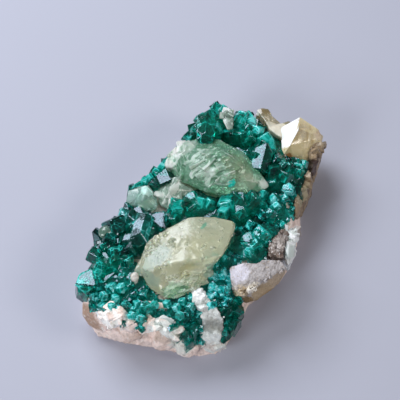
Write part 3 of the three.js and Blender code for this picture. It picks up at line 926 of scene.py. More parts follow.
@dataclass
class Druse:
    """One part of the crust: large crystals listed one by one, and small ones that fill the ground between
    them.

    Attributes:
        area: Its part of the crust, as the piece and its frame solid name it.
        outline: Its ground in plan, convex and counter-clockwise, in mm.
        stems: Its large crystals.
        level: Height of the ground that the large crystals stand on, in mm.
        low: Height down to which small crystals cover the rock's side, in mm.
        fine: Size of the small crystals against the usual one.
        tones: Lowest and highest tone of the small crystals.
        bold: Size of its large crystals against the listed one.
        finish: How its crystals look.
        seed: Picks the small crystals.
        bare_rim: Whether the rock shows beyond its ground and under its low edge.
    """

    area: str
    outline: list[Span]
    stems: list[Stem]
    level: float = 14.8
    low: float = 9.5
    fine: float = 1.0
    tones: Span = (0.15, 0.7)
    bold: float = 1.3
    finish: DioptaseFinish = DioptaseFinish()
    seed: int = 1
    bare_rim: bool = False
    SUNK = 0.6                      # how deep its bed is sunk in the rock, in mm
    JITTER = 0.35                   # most that a small crystal strays from its lattice, in spacings
    ROW = 0.87                      # between the rows of the lattice, in spacings
    LIFT = 0.5                      # least that a large crystal's tip stands over the ground, in mm
    TALL = 1.1                      # and how much more for each mm of its radius
    UPWARD = 0.5                    # how strongly small crystals turn upward, and aside
    ASIDE = 1.5
    FLATTEST = 0.8                  # least thickness of a small crystal, and how much fuller one can be,
    FULLER = 0.4                    # in radii
    SLIM = 1.15                     # their length against that of a large one
    DARKER = 1.5                    # over 1, more of them are dark than light
    SHUFFLE = 997                   # a prime, so that their habit doesn't follow their thickness

    @property
    def name(self) -> str:
        """The piece's name."""
        return f"crystals_{self.area}"

    @property
    def node(self) -> str:
        """The frame solid that it stands for."""
        return f"dioptase_{self.area}"

    def layers(self) -> tuple[Layer, ...]:
        """The generations of small crystals, in the order in which they grow."""
        return CARPET, FINE_FILL if self.finish in (FINE, BRIGHT) else FILL, SKIRT

    def inside(self, x: float, y: float) -> bool:
        """Whether a place lies on this part's ground."""
        corners = zip(self.outline, self.outline[1:] + self.outline[:1])
        return all((bx - ax) * (y - ay) - (by - ay) * (x - ax) > 0 for (ax, ay), (bx, by) in corners)

    def limits(self) -> Iterator[tuple[Vector, Vector]]:
        """The planes round this part's ground and under it, each as a point and an outward direction."""
        for (ax, ay), (bx, by) in zip(self.outline, self.outline[1:] + self.outline[:1]):
            yield place(ax, ay, 0), Vector((by - ay, ax - bx, 0))
        yield place(0, 0, self.low), Vector((0, 0, -1))

    def ground(self, spacing: float, rng: random.Random) -> Iterator[tuple[float, float]]:
        """Places for small crystals: a jittered lattice over the ground."""
        low_x, low_y = (min(values) for values in zip(*self.outline))
        high_x, high_y = (max(values) for values in zip(*self.outline))
        row, y = 0, low_y
        while y < high_y:
            x = low_x + (row % 2) * spacing / 2
            while x < high_x:
                spot = tuple(middle + rng.uniform(-self.JITTER, self.JITTER) * spacing for middle in (x, y))
                if self.inside(*spot):
                    yield spot
                x += spacing
            row += 1
            y += spacing * self.ROW

    def stem_matrix(self, stem: Stem) -> Matrix:
        """The place, turn and size of a large crystal."""
        rise = self.LIFT + (self.TALL * stem.radius if stem.rise is None else stem.rise)
        if stem.lying:
            along = leaning(90, stem.toward).cross(SKYWARD).cross(SKYWARD).normalized() * -1
            up = SKYWARD.normalized()
            turn = Matrix((up, along.cross(up), along)).transposed().to_4x4()
        else:
            turn = leaning(stem.lean, stem.toward).to_track_quat("Z", "Y").to_matrix().to_4x4()
        twist = Matrix.Rotation(math.radians(stem.twist), 4, "Z")
        radius = self.bold * stem.radius * MM
        size = Matrix.Diagonal((radius, radius, radius, 1))
        return Matrix.Translation(place(stem.x, stem.y, self.level + rise)) @ turn @ twist @ size

    def seats(self, layer: Layer, surfaces: Surfaces, rng: random.Random) -> Iterator[tuple[Vector, Vector]]:
        """Places for the small crystals of a layer, with the rock's outward direction there."""
        if layer is SKIRT:
            for point, normal in surfaces.walls:
                plan = plan_of(point + normal * MM)
                if plan.z > self.low and self.inside(plan.x, plan.y):
                    yield point, normal
            return
        for x, y in self.ground(layer.spacing * self.fine, rng):
            near = any(math.hypot(stem.x - x, stem.y - y) < layer.clear * stem.radius for stem in self.stems)
            seat = None if near else surfaces.seat(x, y)
            if seat is not None:
                yield seat

    def small_crystals(self, layer: Layer, bench: CrystalBench, surfaces: Surfaces) -> Iterator[Object]:
        """Grows one layer of small crystals from the rock."""
        rng = random.Random(self.seed)
        upright = Vector((0, 0, 1))
        habits = list(Habit)
        for point, normal in self.seats(layer, surfaces, rng):
            wide, high, lean, toward, twist, form, pale = (rng.random() for _ in range(7))
            radius = self.fine * between(layer.radius, wide)
            wander = leaning(layer.wild * lean, 360 * toward)
            axis = (normal + self.UPWARD * upright + self.ASIDE * (wander - upright)).normalized()
            turn = axis.to_track_quat("Z", "Y").to_matrix().to_4x4()
            spin = Matrix.Rotation(2 * math.pi * twist, 4, "Z")
            size = Matrix.Diagonal((radius * MM, radius * (self.FLATTEST + self.FULLER * form) * MM,
                                    self.SLIM * radius * MM, 1))
            tip = Matrix.Translation(point + axis * between(layer.rise, high) * MM)
            habit = habits[int(form * self.SHUFFLE) % len(habits)]
            yield bench.copy(habit, True, between(self.tones, pale ** self.DARKER), tip @ turn @ spin @ size)

    def build(self, bench: CrystalBench, surfaces: Surfaces) -> Object:
        """Grows the stand on its thin bed and joins its crystals in one solid.

        Args:
            bench: Where crystals are cut.
            surfaces: What they grow on.

        Returns:
            The piece.
        """
        bed = copy_of_node(self.node, self.name)
        bed.data.attributes.new("tone", "FLOAT", "FACE")
        with editing(bed):
            bpy.ops.mesh.select_all(action="SELECT")
            bpy.ops.transform.translate(value=(0, 0, -self.SUNK * MM))
            for point, normal in self.limits() if self.bare_rim else ():
                strike_off(point, normal)
        crystals = [bench.copy(stem.habit, False, stem.tone, self.stem_matrix(stem)) for stem in self.stems]
        for layer in self.layers():
            crystals += self.small_crystals(layer, bench, surfaces)
        return grow_together(bed, crystals)


# The crust, part by part, from the left end to the right end -------------------------------------------


def druses() -> list[Druse]:
    """The parts of the crust, with their large crystals."""
    chisel, wedge, blunt, broken = Habit.CHISEL, Habit.WEDGE, Habit.BLUNT, Habit.BROKEN
    return [
        Druse(
            "rim_left",
            [(-31.6, 12.4), (-17, 8.8), (-16.2, 21.4), (-24, 21.2), (-31.8, 17.6)], [
                Stem(-28.8, 15.4, 2.3, 0.45, 18, 119, 20, habit=broken),
                Stem(-20.4, 16.4, 2.6, 0.15, 15, 130, 10, habit=broken),
                Stem(-18.4, 14.3, 2.1, 0.25, 14, 60, 40),
                Stem(-23.7, 14.8, 1.9, 0.15, 20, 170, 0),
                Stem(-26, 12.6, 1.8, 0.25, 24, 200, 30, habit=wedge),
                Stem(-16.3, 12.7, 1.6, 0.3, 12, 20, 50),
                Stem(-21.8, 12.1, 1.6, 0.2, 18, 250, 15),
                Stem(-18.6, 18.4, 1.7, 0.2, 30, 110, 0, habit=chisel),
                Stem(-22.4, 18.6, 1.7, 0.1, 34, 120, 30),
                Stem(-18.9, 9.2, 1.5, 0.3, 20, 230, 0)],
            level=14.8, tones=(-0.1, 0.35), bold=1.4, fine=1.2, seed=11),
        Druse(
            "rim_upper",
            [(-17, 9), (-13, 5), (-3, 6.8), (-3, 15), (-5.4, 22), (-16.6, 22.6)], [
                Stem(-12.5, 18.9, 2.7, 0.2, 18, 110, 0),
                Stem(-9.3, 18.1, 1.9, 0.7, 24, 140, 25, habit=blunt),
                Stem(-16.9, 17.4, 1.7, 0.3, 26, 160, 0),
                Stem(-10.6, 13.9, 2.7, 0.08, 16, 100, 20, habit=blunt),
                Stem(-6.9, 12.8, 2.5, 0.05, 14, 60, 0, habit=chisel),
                Stem(-6.5, 15.8, 2.1, 0.1, 15, 110, 35, habit=broken),
                Stem(-8.2, 16.6, 1.7, 0.15, 22, 130, 10),
                Stem(-5.2, 10.2, 2.3, 0.2, 15, 125, 0, habit=broken),
                Stem(-14.6, 9.4, 1.9, 0.1, toward=200, twist=8, rise=0.9, lying=True),
                Stem(-13.2, 14, 1.7, 0.15, 15, 119, 40, habit=broken),
                Stem(-15.6, 10.2, 1.7, 0.2, 20, 240, 20),
                Stem(-15.4, 16.2, 1.5, 0.3, 16, 125, 0, habit=broken),
                Stem(-6.4, 21.0, 1.1, 0.2, 48, 100, 0, rise=-2.4),
                Stem(-3.8, 21.2, 1.2, 0.3, 50, 95, 20, rise=-3.0)],
            level=15.0, tones=(-0.1, 0.3), bold=1.4, fine=1.25, finish=DARK, seed=12),
        Druse(
            "field_left",
            [(-32.8, 7.4), (-29.2, 5.4), (-20, 1.3), (-17, 9), (-31.6, 12.8)], [
                Stem(-28, 11.7, 1.6, 0.3, 16, 190, 0),
                Stem(-26.8, 8.4, 1.8, 0.5, 14, 220, 20),
                Stem(-25.7, 6.4, 1.6, 0.6, 22, 200, 45, habit=blunt),
                Stem(-29.9, 9.1, 1.4, 0.7, 20, 190, 10, habit=chisel),
                Stem(-28.7, 6.3, 1.3, 0.6, 24, 170, 30),
                Stem(-30.8, 5.5, 1.2, 0.7, 22, 210, 0, habit=blunt),
                Stem(-30.2, 4.1, 1.0, 0.35, 30, 220, 15, rise=0.6),
                Stem(-31.3, 6.8, 1.0, 0.2, 34, 210, 40, rise=0.2),
                Stem(-29.7, 6.0, 1.1, 0.2, 20, 180, 0, rise=1.1, habit=wedge),
                Stem(-31.8, 5.3, 0.9, 0.45, 44, 215, 20, rise=-0.4, habit=chisel),
                Stem(-31.0, 3.0, 1.0, 0.5, 36, 225, 10, rise=0.1, habit=wedge),
                Stem(-30.6, 11.4, 1.5, 0.3, 20, 190, 20, rise=0.4),
                Stem(-31.1, 9.6, 1.4, 0.5, 24, 200, 0, rise=0.0, habit=wedge),
                Stem(-31.6, 8.0, 1.3, 0.6, 26, 200, 30, rise=-0.4),
                Stem(-32.2, 6.4, 1.2, 0.5, 28, 200, 0, rise=-0.9),
                Stem(-22.6, 7.6, 1.4, 0.3, 20, 260, 0),
                Stem(-23.2, 4.9, 1.3, 0.25, 26, 250, 30)],
            level=14.0, low=11.8, fine=0.7, tones=(0.05, 0.8), bold=0.98,
            finish=FINE, seed=13, bare_rim=True),
        Druse(
            "field_front",
            [(-31.4, -0.2), (-27.0, -5.6), (-19, -4.3), (-20.2, 1.6), (-29.4, 5.2)], [
                Stem(-24.9, 2.6, 1.7, 0.15, 10, 230, 20, habit=blunt),
                Stem(-23.6, 0.4, 1.6, 0.25, 18, 250, 0),
                Stem(-28.4, 3, 1.2, 0.6, 22, 210, 30),
                Stem(-26.9, 0.8, 1.4, 0.5, 16, 190, 10),
                Stem(-26.6, -1.9, 1.9, 0.35, 20, 210, 0),
                Stem(-30.2, 0.1, 1.2, 0.7, 24, 200, 30, habit=blunt),
                Stem(-29.6, -2.6, 1.3, 0.6, 28, 220, 0, habit=chisel),
                Stem(-24.4, -3.2, 1.3, 0.45, 18, 240, 20),
                *(Stem(-28.4 - 0.75 * step - 0.2 * side, 1.9 - 1.45 * side - 0.3 * step,
                       0.9 + 0.14 * ((step + side) % 3), 0.1 + 0.3 * ((step + 2 * side) % 3), 30 + 8 * step,
                       215 - 8 * side, 30 * side + 20 * step, rise=1.0 - step,
                       habit=(blunt, chisel, wedge)[(step + side) % 3])
                  for step in range(4) for side in range(4) if side >= step - 1)],
            level=13.9, low=11.8, fine=0.6, tones=(0.1, 0.8), bold=0.98,
            finish=FINE, seed=14, bare_rim=True),
        Druse(
            "field_lower",
            [(-27.6, -9.8), (-22, -12.6), (-15.4, -11.2), (-14.8, -6), (-19, -4.4), (-27, -6.4)], [
                Stem(-22.6, -5.6, 1.3, 0.6, 20, 230, 0),
                Stem(-22.2, -8, 1.3, 0.75, 22, 210, 30, habit=blunt),
                Stem(-19.8, -8.4, 1.3, 0.6, 18, 240, 0),
                Stem(-20.4, -11, 1.5, 0.4, 26, 220, 20),
                Stem(-23.6, -10, 1.3, 0.7, 24, 220, 0, habit=chisel),
                Stem(-17.6, -9.6, 1.1, 0.8, 20, 260, 10)],
            level=14.0, low=12.0, fine=0.55, tones=(0.35, 1.05), bold=0.98, finish=FINE, seed=15),
        Druse(
            "tongue",
            [(-24.6, -11.2), (-26.0, -14.4), (-24.2, -16.4), (-19.4, -13.4)], [
                Stem(-20.8 - 0.55 * step + 0.7 * side, -12.0 - 0.48 * step - 1.0 * side, 1.1 - 0.04 * step,
                     0.2 + 0.25 * ((step + side) % 3), 36 + 3 * step, 215 - 20 * side, 25 * step,
                     rise=-0.4 - 1.0 * step)
                for step in range(8) for side in (-1, 0, 1)],
            level=14.0, low=5.0, fine=0.6, tones=(0.1, 0.6), bold=1.0, finish=FINE, seed=16),
        Druse(
            "bottom_right",
            [(-18.2, -15.4), (-20, -21.4), (-11, -21.6), (-9.4, -18.4), (-13.4, -16.4)], [
                Stem(-14.4, -18.4, 1.8, 0.1, 34, 290, 0, rise=0.6),
                Stem(-12.6, -19.6, 1.6, 0.08, 46, 280, 20, rise=-1.6),
                Stem(-16.2, -20.4, 1.9, 0.3, 50, 260, 10, rise=-2.6, habit=blunt),
                Stem(-14, -20.8, 1.6, 0.1, 58, 270, 0, rise=-4.4),
                Stem(-16.8, -21, 1.3, 0.15, 60, 250, 30, rise=-6.2),
                *(Stem(-11.6 - 1.5 * step, -21.0 - 0.1 * (step % 3), 1.0 + 0.15 * (step % 3), 0.2,
                       80 + 8 * (step % 4), 270 - 8 * step, 35 * step,
                       rise=-5.4 - 1.1 * (step * 2 % 5)) for step in range(7))],
            level=14.0, low=6.0, fine=0.9, tones=(0.02, 0.3), bold=1.12, seed=17),
        Druse(
            "inner_right",
            [(-15, -6), (-15.4, -11.2), (-13.4, -16.6), (-6, -17.2), (-1, -13.2), (-0.8, -7)], [
                Stem(-7.0, -9.4, 1.6, 0.5, 16, 250, 0, rise=2.9),
                Stem(-9.0, -8.6, 1.4, 0.6, 20, 200, 20, rise=3.0),
                Stem(-10.6, -9.8, 1.3, 0.8, 22, 220, 0, rise=2.2),
                Stem(-3.9, -10.6, 1.6, 0.35, 18, 290, 20),
                Stem(-8.5, -12.9, 1.4, 0.7, 20, 240, 0, habit=blunt),
                Stem(-10.5, -11.3, 1.2, 0.9, 22, 220, 10),
                Stem(-12.7, -12.6, 1.3, 1.0, 26, 230, 30, habit=blunt),
                Stem(-2.2, -10.4, 1.3, 0.3, 18, 300, 0),
                *(Stem(-6.4 - 1.35 * step - 0.4 * side + 0.3 * (side * step % 3),
                       -13.9 - 0.62 * step + 1.2 * side + 0.25 * (step * step % 3),
                       0.85 + 0.2 * ((step + side) % 3), 0.05 + 0.27 * ((step + 2 * side) % 4),
                       16 + 14 * ((3 * step + side) % 3),
                       250 + 40 * side - 35 * (step % 3), 25 * step, habit=(chisel, blunt, wedge)[step % 3])
                  for step in range(7) for side in range(4))],
            level=14.5, fine=0.55, tones=(0.3, 1.0), bold=0.98, finish=BRIGHT, seed=18),
        Druse(
            "saddle",
            [(-3.2, 10.2), (-4.2, 3), (6, -5.2), (11.7, 0.5), (9, 8), (3, 10.5)], [
                Stem(4.6, 6.8, 2.1, 0.4, 15, 119, 15, habit=broken),
                Stem(1.4, 7.6, 2.2, 0.3, 14, 200, 0, habit=blunt),
                Stem(-0.8, 7.6, 1.8, 0.5, 24, 190, 0),
                Stem(3.6, 3.7, 1.9, 0.15, 18, 260, 20),
                Stem(6.4, 3, 1.7, 0.4, 16, 320, 0),
                Stem(7, 0.4, 1.6, 0.6, 22, 280, 30, habit=chisel),
                Stem(-2.6, 6, 1.3, 0.3, 26, 230, 10)],
            level=15.2, tones=(0.05, 0.5), fine=1.1, finish=DEEP, seed=19),
        Druse(
            "middle",
            [(6, -5.2), (4, -8.8), (10.4, -12.8), (18.8, -9.2), (16.6, -5.4), (11.6, 0.5)], [
                Stem(9.3, -3.2, 2.4, 0.45, 16, 250, 0),
                Stem(6.4, -8.0, 1.7, 0.2, toward=215, twist=-13, rise=1.0, lying=True),
                Stem(13.5, -8.6, 2.8, 0.3, 14, 280, 10),
                Stem(11.4, -5, 1.7, 0.45, 18, 30, 0),
                Stem(6.2, -3.6, 1.5, 0.7, 26, 230, 0),
                Stem(12.6, -1.6, 1.4, 0.35, 22, 120, 20),
                Stem(15.6, -6.2, 1.4, 0.25, 24, 60, 0),
                Stem(17.4, -8.6, 1.3, 0.5, 20, 320, 0)],
            level=15.2, tones=(0.05, 0.5), fine=1.1, finish=DEEP, seed=20),
        Druse(
            "right_front",
            [(-1, -7), (-1, -13.2), (-1.2, -17.6), (8, -18.0), (12.6, -16), (10.4, -12.4), (4, -8.4)], [
                Stem(4, -9.6, 1.6, 0.2, 16, 240, 0),
                Stem(3.2, -12.0, 2.3, 0.15, 15, 119, 20, habit=broken),
                Stem(7.7, -11.3, 1.9, 0.35, 14, 300, 10),
                Stem(7.4, -15.4, 2.8, 0.3, 22, 300, 0, habit=blunt),
                Stem(3, -16, 2.0, 0.65, 26, 260, 30, habit=chisel),
                Stem(0.4, -14.8, 1.5, 0.6, 20, 230, 0)],
            level=14.8, fine=0.75, tones=(0.0, 0.7), bold=0.98, finish=FINE, seed=21),
        Druse(
            "right_rim",
            [(10.2, -12.4), (12.4, -16.2), (14.8, -17.8), (24.2, -14.2), (18.8, -9.2)], [
                Stem(13.4, -13.6, 2.0, 0.3, 20, 300, 10),
                Stem(11.8, -12, 1.9, 0.25, 14, 270, 30),
                Stem(17.8, -11.7, 1.5, 0.9, 18, 290, 0, habit=blunt),
                Stem(21.9, -12.3, 1.7, 0.8, 16, 119, 20, habit=broken),
                Stem(16.2, -13.6, 1.3, 0.8, 26, 280, 10),
                Stem(19.4, -14.2, 1.3, 0.4, 32, 290, 0),
                Stem(13.4, -17.4, 1.3, 0.4, 34, 280, 20, rise=-0.6)],
            level=14.6, low=11.2, fine=0.7, tones=(0.1, 0.8), bold=0.98,
            finish=FINE, seed=22, bare_rim=True),
        Druse(
            "shoulder_front",
            [(18.6, -9.2), (24.2, -14.2), (31.8, -13.0), (33.4, -9.0), (22.4, -4.2), (17.4, -6)], [
                Stem(23.6, -6.6, 2.5, 0.12, 12, 200, 0),
                Stem(27.2, -5.6, 2.0, 0.25, 16, 140, 20),
                Stem(27.5, -8.6, 1.9, 0.2, 18, 300, 0),
                Stem(28.4, -11, 1.8, 0.3, 22, 310, 15, habit=chisel),
                Stem(24.9, -11, 1.8, 0.2, 16, 290, 30),
                Stem(21.4, -9.2, 1.8, 0.15, 14, 250, 0),
                Stem(31.4, -10.4, 1.5, 0.3, 20, 320, 0, rise=0.2),
                Stem(30.6, -11.9, 1.5, 0.5, 26, 320, 20, rise=0.0),
                Stem(32.6, -11.9, 1.3, 0.4, 30, 330, 0, rise=-0.8),
                Stem(29.0, -12.7, 1.4, 0.5, 26, 300, 30, rise=0.0)],
            level=14.9, low=11.4, tones=(0.05, 0.5), finish=DEEP, seed=23),
        Druse(
            "shoulder_back",
            [(22.4, -4.6), (31, -8), (35, -2.8), (36.2, 3.2), (24, 3.2)], [
                Stem(30.4, -0.4, 2.2, 0.1, toward=20, rise=1.0, lying=True),
                Stem(24.0, -1.2, 1.1, 0.2, 16, 200, 0, rise=3.8),
                Stem(23.2, -4.0, 1.3, 0.15, 20, 200, 20, rise=3.3),
                Stem(32.6, 0.4, 2.0, 0.8, 20, 20, 0),
                Stem(31.2, -2.4, 1.4, 0.6, 22, 340, 20),
                Stem(29.4, -4.2, 1.5, 0.3, 18, 300, 0),
                Stem(25, -3, 1.6, 0.15, 20, 220, 30),
                Stem(30, 1, 1.6, 0.4, 14, 60, 0)],
            level=15.0, fine=0.8, tones=(0.1, 0.8), finish=DEEP, seed=24),
        Druse(
            "crest",
            [(24, 3), (36.2, 3), (38.4, 8.6), (36.2, 12.8), (22.4, 10.8)], [
                Stem(28.2, 5.8, 2.3, 0.1, 16, 230, 0),
                Stem(26.6, 8.8, 1.8, 0.15, 20, 200, 20),
                Stem(31.9, 5.7, 1.9, 0.12, 14, 300, 0),
                Stem(29.2, 3.2, 1.7, 0.2, 18, 250, 30),
                Stem(33.6, 3.3, 1.6, 0.7, 20, 330, 0, habit=blunt),
                Stem(34.3, 10, 1.8, 0.9, 22, 40, 10, habit=chisel),
                Stem(36, 8.4, 1.5, 0.8, 30, 20, 0),
                Stem(31.8, 9, 1.5, 0.5, 18, 120, 20),
                Stem(34.6, 8.3, 1.6, 0.75, 18, 320, 10, rise=2.6),
                Stem(34.8, 6.2, 1.5, 0.9, 22, 330, 30, rise=2.0, habit=blunt),
                Stem(32.9, 9.4, 1.6, 0.45, 16, 60, 0, rise=2.8)],
            level=15.2, fine=0.95, tones=(0.1, 0.85), seed=25),
        Druse(
            "tip",
            [(22.4, 10.8), (36.2, 12.6), (35.6, 19.4), (27, 20.6), (17, 20.2), (17.4, 14)], [
                Stem(18.6, 10.8, 2.0, 0.1, toward=214, twist=12, rise=2.9, lying=True),
                Stem(25.8, 12.0, 1.7, 0.6, 20, 250, 20, rise=3.4),
                Stem(24.2, 16.6, 2.0, 0.15, 16, 160, 0, rise=2.6),
                Stem(29.9, 14.6, 1.9, 0.3, 16, 60, 0),
                Stem(30, 17.2, 1.8, 0.35, 22, 80, 30),
                Stem(27.6, 17.2, 1.8, 0.2, 20, 120, 0),
                Stem(26.6, 19, 1.5, 0.5, 34, 110, 10),
                Stem(33.2, 17.5, 1.4, 0.4, 30, 50, 0),
                Stem(34.1, 15.5, 1.3, 0.5, 32, 30, 20, rise=0.9),
                Stem(23.8, 17.8, 1.5, 0.3, 26, 130, 0),
                Stem(21.6, 17.2, 1.4, 0.35, 26, 140, 30),
                Stem(19.6, 18.4, 1.3, 0.45, 34, 130, 0),
                Stem(15.4, 19.8, 1.1, 0.3, 50, 100, 0, rise=-3.4),
                Stem(17.4, 19.6, 1.2, 0.2, 46, 105, 20, rise=-2.2)],
            level=15.4, tones=(0.0, 0.45), bold=1.4, fine=1.25, seed=26),
        Druse(
            "edge_row",
            [(-2, 20.4), (3.4, 19.4), (9.6, 18.0), (12.6, 17.8), (14.8, 20.6), (4, 22), (-1.6, 22.4)], [
                Stem(0.5, 20.9, 1.5, 0.2, 26, 120, 0, rise=0.9),
                Stem(2.6, 20.3, 1.0, 0.5, 34, 130, 20),
                Stem(4.4, 19.8, 1.0, 0.6, 30, 120, 0),
                Stem(6.6, 19.4, 1.0, 0.7, 36, 120, 30),
                Stem(8.8, 19.0, 1.0, 0.8, 34, 130, 0),
                Stem(10.8, 18.9, 1.1, 0.7, 36, 120, 10),
                Stem(12.4, 18.8, 0.9, 0.9, 38, 110, 0),
                Stem(-1.4, 21.2, 1.3, 0.2, 46, 100, 0, rise=-1.8),
                Stem(1.8, 21.0, 1.2, 0.3, 50, 95, 20, rise=-2.8),
                Stem(5.6, 20.6, 1.4, 0.2, 46, 100, 40, rise=-2.0),
                Stem(8.8, 20.2, 1.1, 0.4, 52, 90, 0, rise=-3.2),
                Stem(12.0, 19.8, 1.3, 0.2, 48, 100, 10, rise=-2.4)],
            level=14.6, fine=0.85, tones=(0.15, 0.8), seed=27),
    ]


# Rock and calcite ------------------------------------------------------------------------------------


@dataclass(frozen=True)
class Lump:
    """A rounded bulge.

    Attributes:
        centre: Its middle, in growth-plan mm.
        radii: Its half sizes, in mm.
        turn: Turn about upright, in degrees.
    """

    centre: Point
    radii: Point
    turn: float = 0.0
    TIPPED = (0.3, 0.2)             # turns about X and Y, in radians, that hide the ball's regular faces

    def build(self) -> Object:
        """Makes the bulge as a coarse, faceted ball."""
        bpy.ops.mesh.primitive_ico_sphere_add(subdivisions=3, radius=MM, location=place(*self.centre),
                                              rotation=(*self.TIPPED, math.radians(self.turn)))
        lump = bpy.context.object
        lump.scale = self.radii
        return settle(lump)


@dataclass(frozen=True)
class Chip:
    """A piece bounded by flat faces, as broken crystals are: a block with its corners struck off.

    Attributes:
        centre: Its middle, in growth-plan mm.
        size: Its length, width and height, in mm.
        turn: Turns about X, Y and Z, in degrees.
        struck: How many corners are struck off.
        seed: Picks the corners.
        wear: Width of its worn edges, in mm.
    """

    centre: Point
    size: Point
    turn: Point = (0.0, 0.0, 0.0)
    struck: int = 5
    seed: int = 1
    wear: float = 0.08
    SLANT = (0.4, 1.0)              # least and most that a struck face leans along each axis
    DEPTH = (0.36, 0.52)            # its least and greatest distance from the middle, in sides

    def build(self) -> Object:
        """Makes the chip."""
        rng = random.Random(self.seed)
        bpy.ops.mesh.primitive_cube_add(size=1)
        chip = bpy.context.object
        with editing(chip):
            for _ in range(self.struck):
                normal = Vector([rng.choice((-1, 1)) * rng.uniform(*self.SLANT) for _ in range(3)])
                strike_off(normal.normalized() * rng.uniform(*self.DEPTH), normal)
        chip.scale = [side * MM for side in self.size]
        chip.rotation_euler = [math.radians(angle) for angle in self.turn]
        chip.location = place(*self.centre)
        settle(chip)
        with editing(chip):
            wear_edges(self.wear * MM, 1)
        return chip


@dataclass(frozen=True)
class Shard:
    """A piece bounded by flat faces, given by its corners.

    Attributes:
        corners: Its corners, in growth-plan mm.
        wear: Width of its worn edges, in mm.
    """

    corners: tuple[Point, ...]
    wear: float = 0.12
    FLAT = 4.0                      # corners this close to one plane, in degrees, share a face

    def build(self) -> Object:
        """Makes the shard."""
        mesh = bpy.data.meshes.new("shard")
        mesh.from_pydata([place(*corner) for corner in self.corners], [], [])
        shard = add_object("shard", mesh)
        with editing(shard):
            bpy.ops.mesh.select_all(action="SELECT")
            bpy.ops.mesh.convex_hull()
            merge_flats(self.FLAT)
            if self.wear:
                wear_edges(self.wear * MM)
        return shard


CRUMB_CROWDING = 0.4                # 1/3 spreads them evenly, and more crowds them to the middle
CRUMB_SIDES = (0.6, 1.3)            # least and greatest side, against a middling one
CRUMB_WEAR = 0.04                   # width of their worn edges, in mm


def crumbs(centre: Point, radii: Point, count: int, size: float, seed: int) -> Iterator[Chip]:
    """Small broken crystals, scattered through an egg-shaped space.

    Args:
        centre: Its middle, in growth-plan mm.
        radii: Its half sizes, in mm.
        count: How many there are.
        size: Length of a middling one, in mm.
        seed: Picks them.

    Yields:
        Each crystal.
    """
    rng = random.Random(seed)
    for number in range(count):
        way = Vector([rng.gauss(0, 1) for _ in range(3)]).normalized() * rng.random() ** CRUMB_CROWDING
        spot = tuple(middle + reach * step for middle, reach, step in zip(centre, radii, way))
        sides = tuple(size * rng.uniform(*CRUMB_SIDES) for _ in range(3))
        turn = tuple(rng.uniform(-90, 90) for _ in range(3))
        yield Chip(spot, sides, turn, seed=seed + number, wear=CRUMB_WEAR)


@dataclass(frozen=True)
class Push:
    """A noise that moves a surface in and out.

    Attributes:
        kind: CLOUDS or VORONOI.
        size: Size of its features, in mm.
        depth: How far it moves the surface, in mm.
        zone: The only stretch that it moves, where it is given.
        stretch: How much longer than wide its features are.
        along: Direction of their length in plan, in degrees.
    """

    kind: str
    size: float
    depth: float
    zone: Zone | None = None
    stretch: float = 1.0
    along: float = 0.0
    SKIN = "skin"                   # the vertex group that it moves

    def apply(self, piece: Object, floor: float) -> None:
        """Moves the skin of a piece.

        Args:
            piece: The piece.
            floor: Height under which the skin stays, in m.
        """
        group = piece.vertex_groups.new(name=self.SKIN)
        for vertex in piece.data.vertices:
            weight = 0.0 if vertex.co.z < floor else self.zone.weight(vertex.co) if self.zone else 1.0
            if weight:
                group.add([vertex.index], weight, "REPLACE")
        bpy.ops.object.empty_add(rotation=(0, 0, math.radians(self.along)))
        guide = bpy.context.object
        guide.scale = (self.stretch, 1, 1)
        bpy.context.view_layer.update()
        finish_with(piece, "DISPLACE", texture=noise_texture(self.kind, self.size), texture_coords="OBJECT",
                    texture_coords_object=guide, strength=self.depth * MM, mid_level=0.5,
                    vertex_group=self.SKIN)
        bpy.data.objects.remove(guide)
        piece.vertex_groups.clear()


@dataclass
class GrownPiece:
    """A piece with a natural skin, grown from the frame solid that it stands for.

    Attributes:
        name: The piece's name.
        node: The frame solid.
        voxel: Fineness of its skin, in mm.
        pushes: Noises over the skin, coarse to fine.
        extras: Bulges and chips that are part of it.
        facets: Chips that stand out of its skin with sharp faces.
        cuts: Planes that strike a part off, each as a point in mm and the direction of the lost side.
        wear: Width of the worn edges of the frame solid's faces, in mm.
        crisp: Angle between faces over which an edge stays sharp, in degrees.
        flat_foot: Whether its underside stays flat on the table.
    """

    name: str
    node: str
    voxel: float = 0.3
    pushes: tuple[Push, ...] = ()
    extras: tuple[Lump | Chip | Shard, ...] = ()
    facets: tuple[Chip | Shard, ...] = ()
    cuts: tuple[tuple[Point, Point], ...] = ()
    wear: float = 0.3
    crisp: float = 30.0
    flat_foot: bool = False
    FOOT_BAND = 0.8                 # height over the table that a flat foot keeps free of noise, in mm
    FLAT = 2.0                      # faces of the frame solid that meet under this angle become one

    def build(self) -> Object:
        """Makes the piece."""
        piece = self.facet()
        grow_together(piece, [extra.build() for extra in self.extras])
        self.weather(piece)
        only(piece)
        bpy.ops.object.shade_smooth_by_angle(angle=math.radians(self.crisp))
        return piece

    def weather(self, piece: Object) -> None:
        """Gives the piece its natural skin, and then the facets that stand out of it."""
        finish_with(piece, "REMESH", mode="VOXEL", voxel_size=self.voxel * MM, use_smooth_shade=False)
        floor = self.FOOT_BAND * MM if self.flat_foot else -1.0
        for push in self.pushes:
            push.apply(piece, floor)
        grow_together(piece, [chip.build() for chip in self.facets])

    def facet(self) -> Object:
        """The frame solid with its struck faces and worn edges."""
        piece = copy_of_node(self.node, self.name)
        with editing(piece):
            for point, normal in self.cuts:
                strike_off(place(*point), normal)
            merge_flats(self.FLAT)
            if self.wear:
                wear_edges(self.wear * MM)
        return piece


@dataclass
class CleavedBlock(GrownPiece):
    """A piece bounded by flat cleavage faces, with crisp worn edges, that keeps its plain faces."""

    wear: float = 0.18

    def weather(self, piece: Object) -> None:
        """Leaves the cleavage faces plain."""


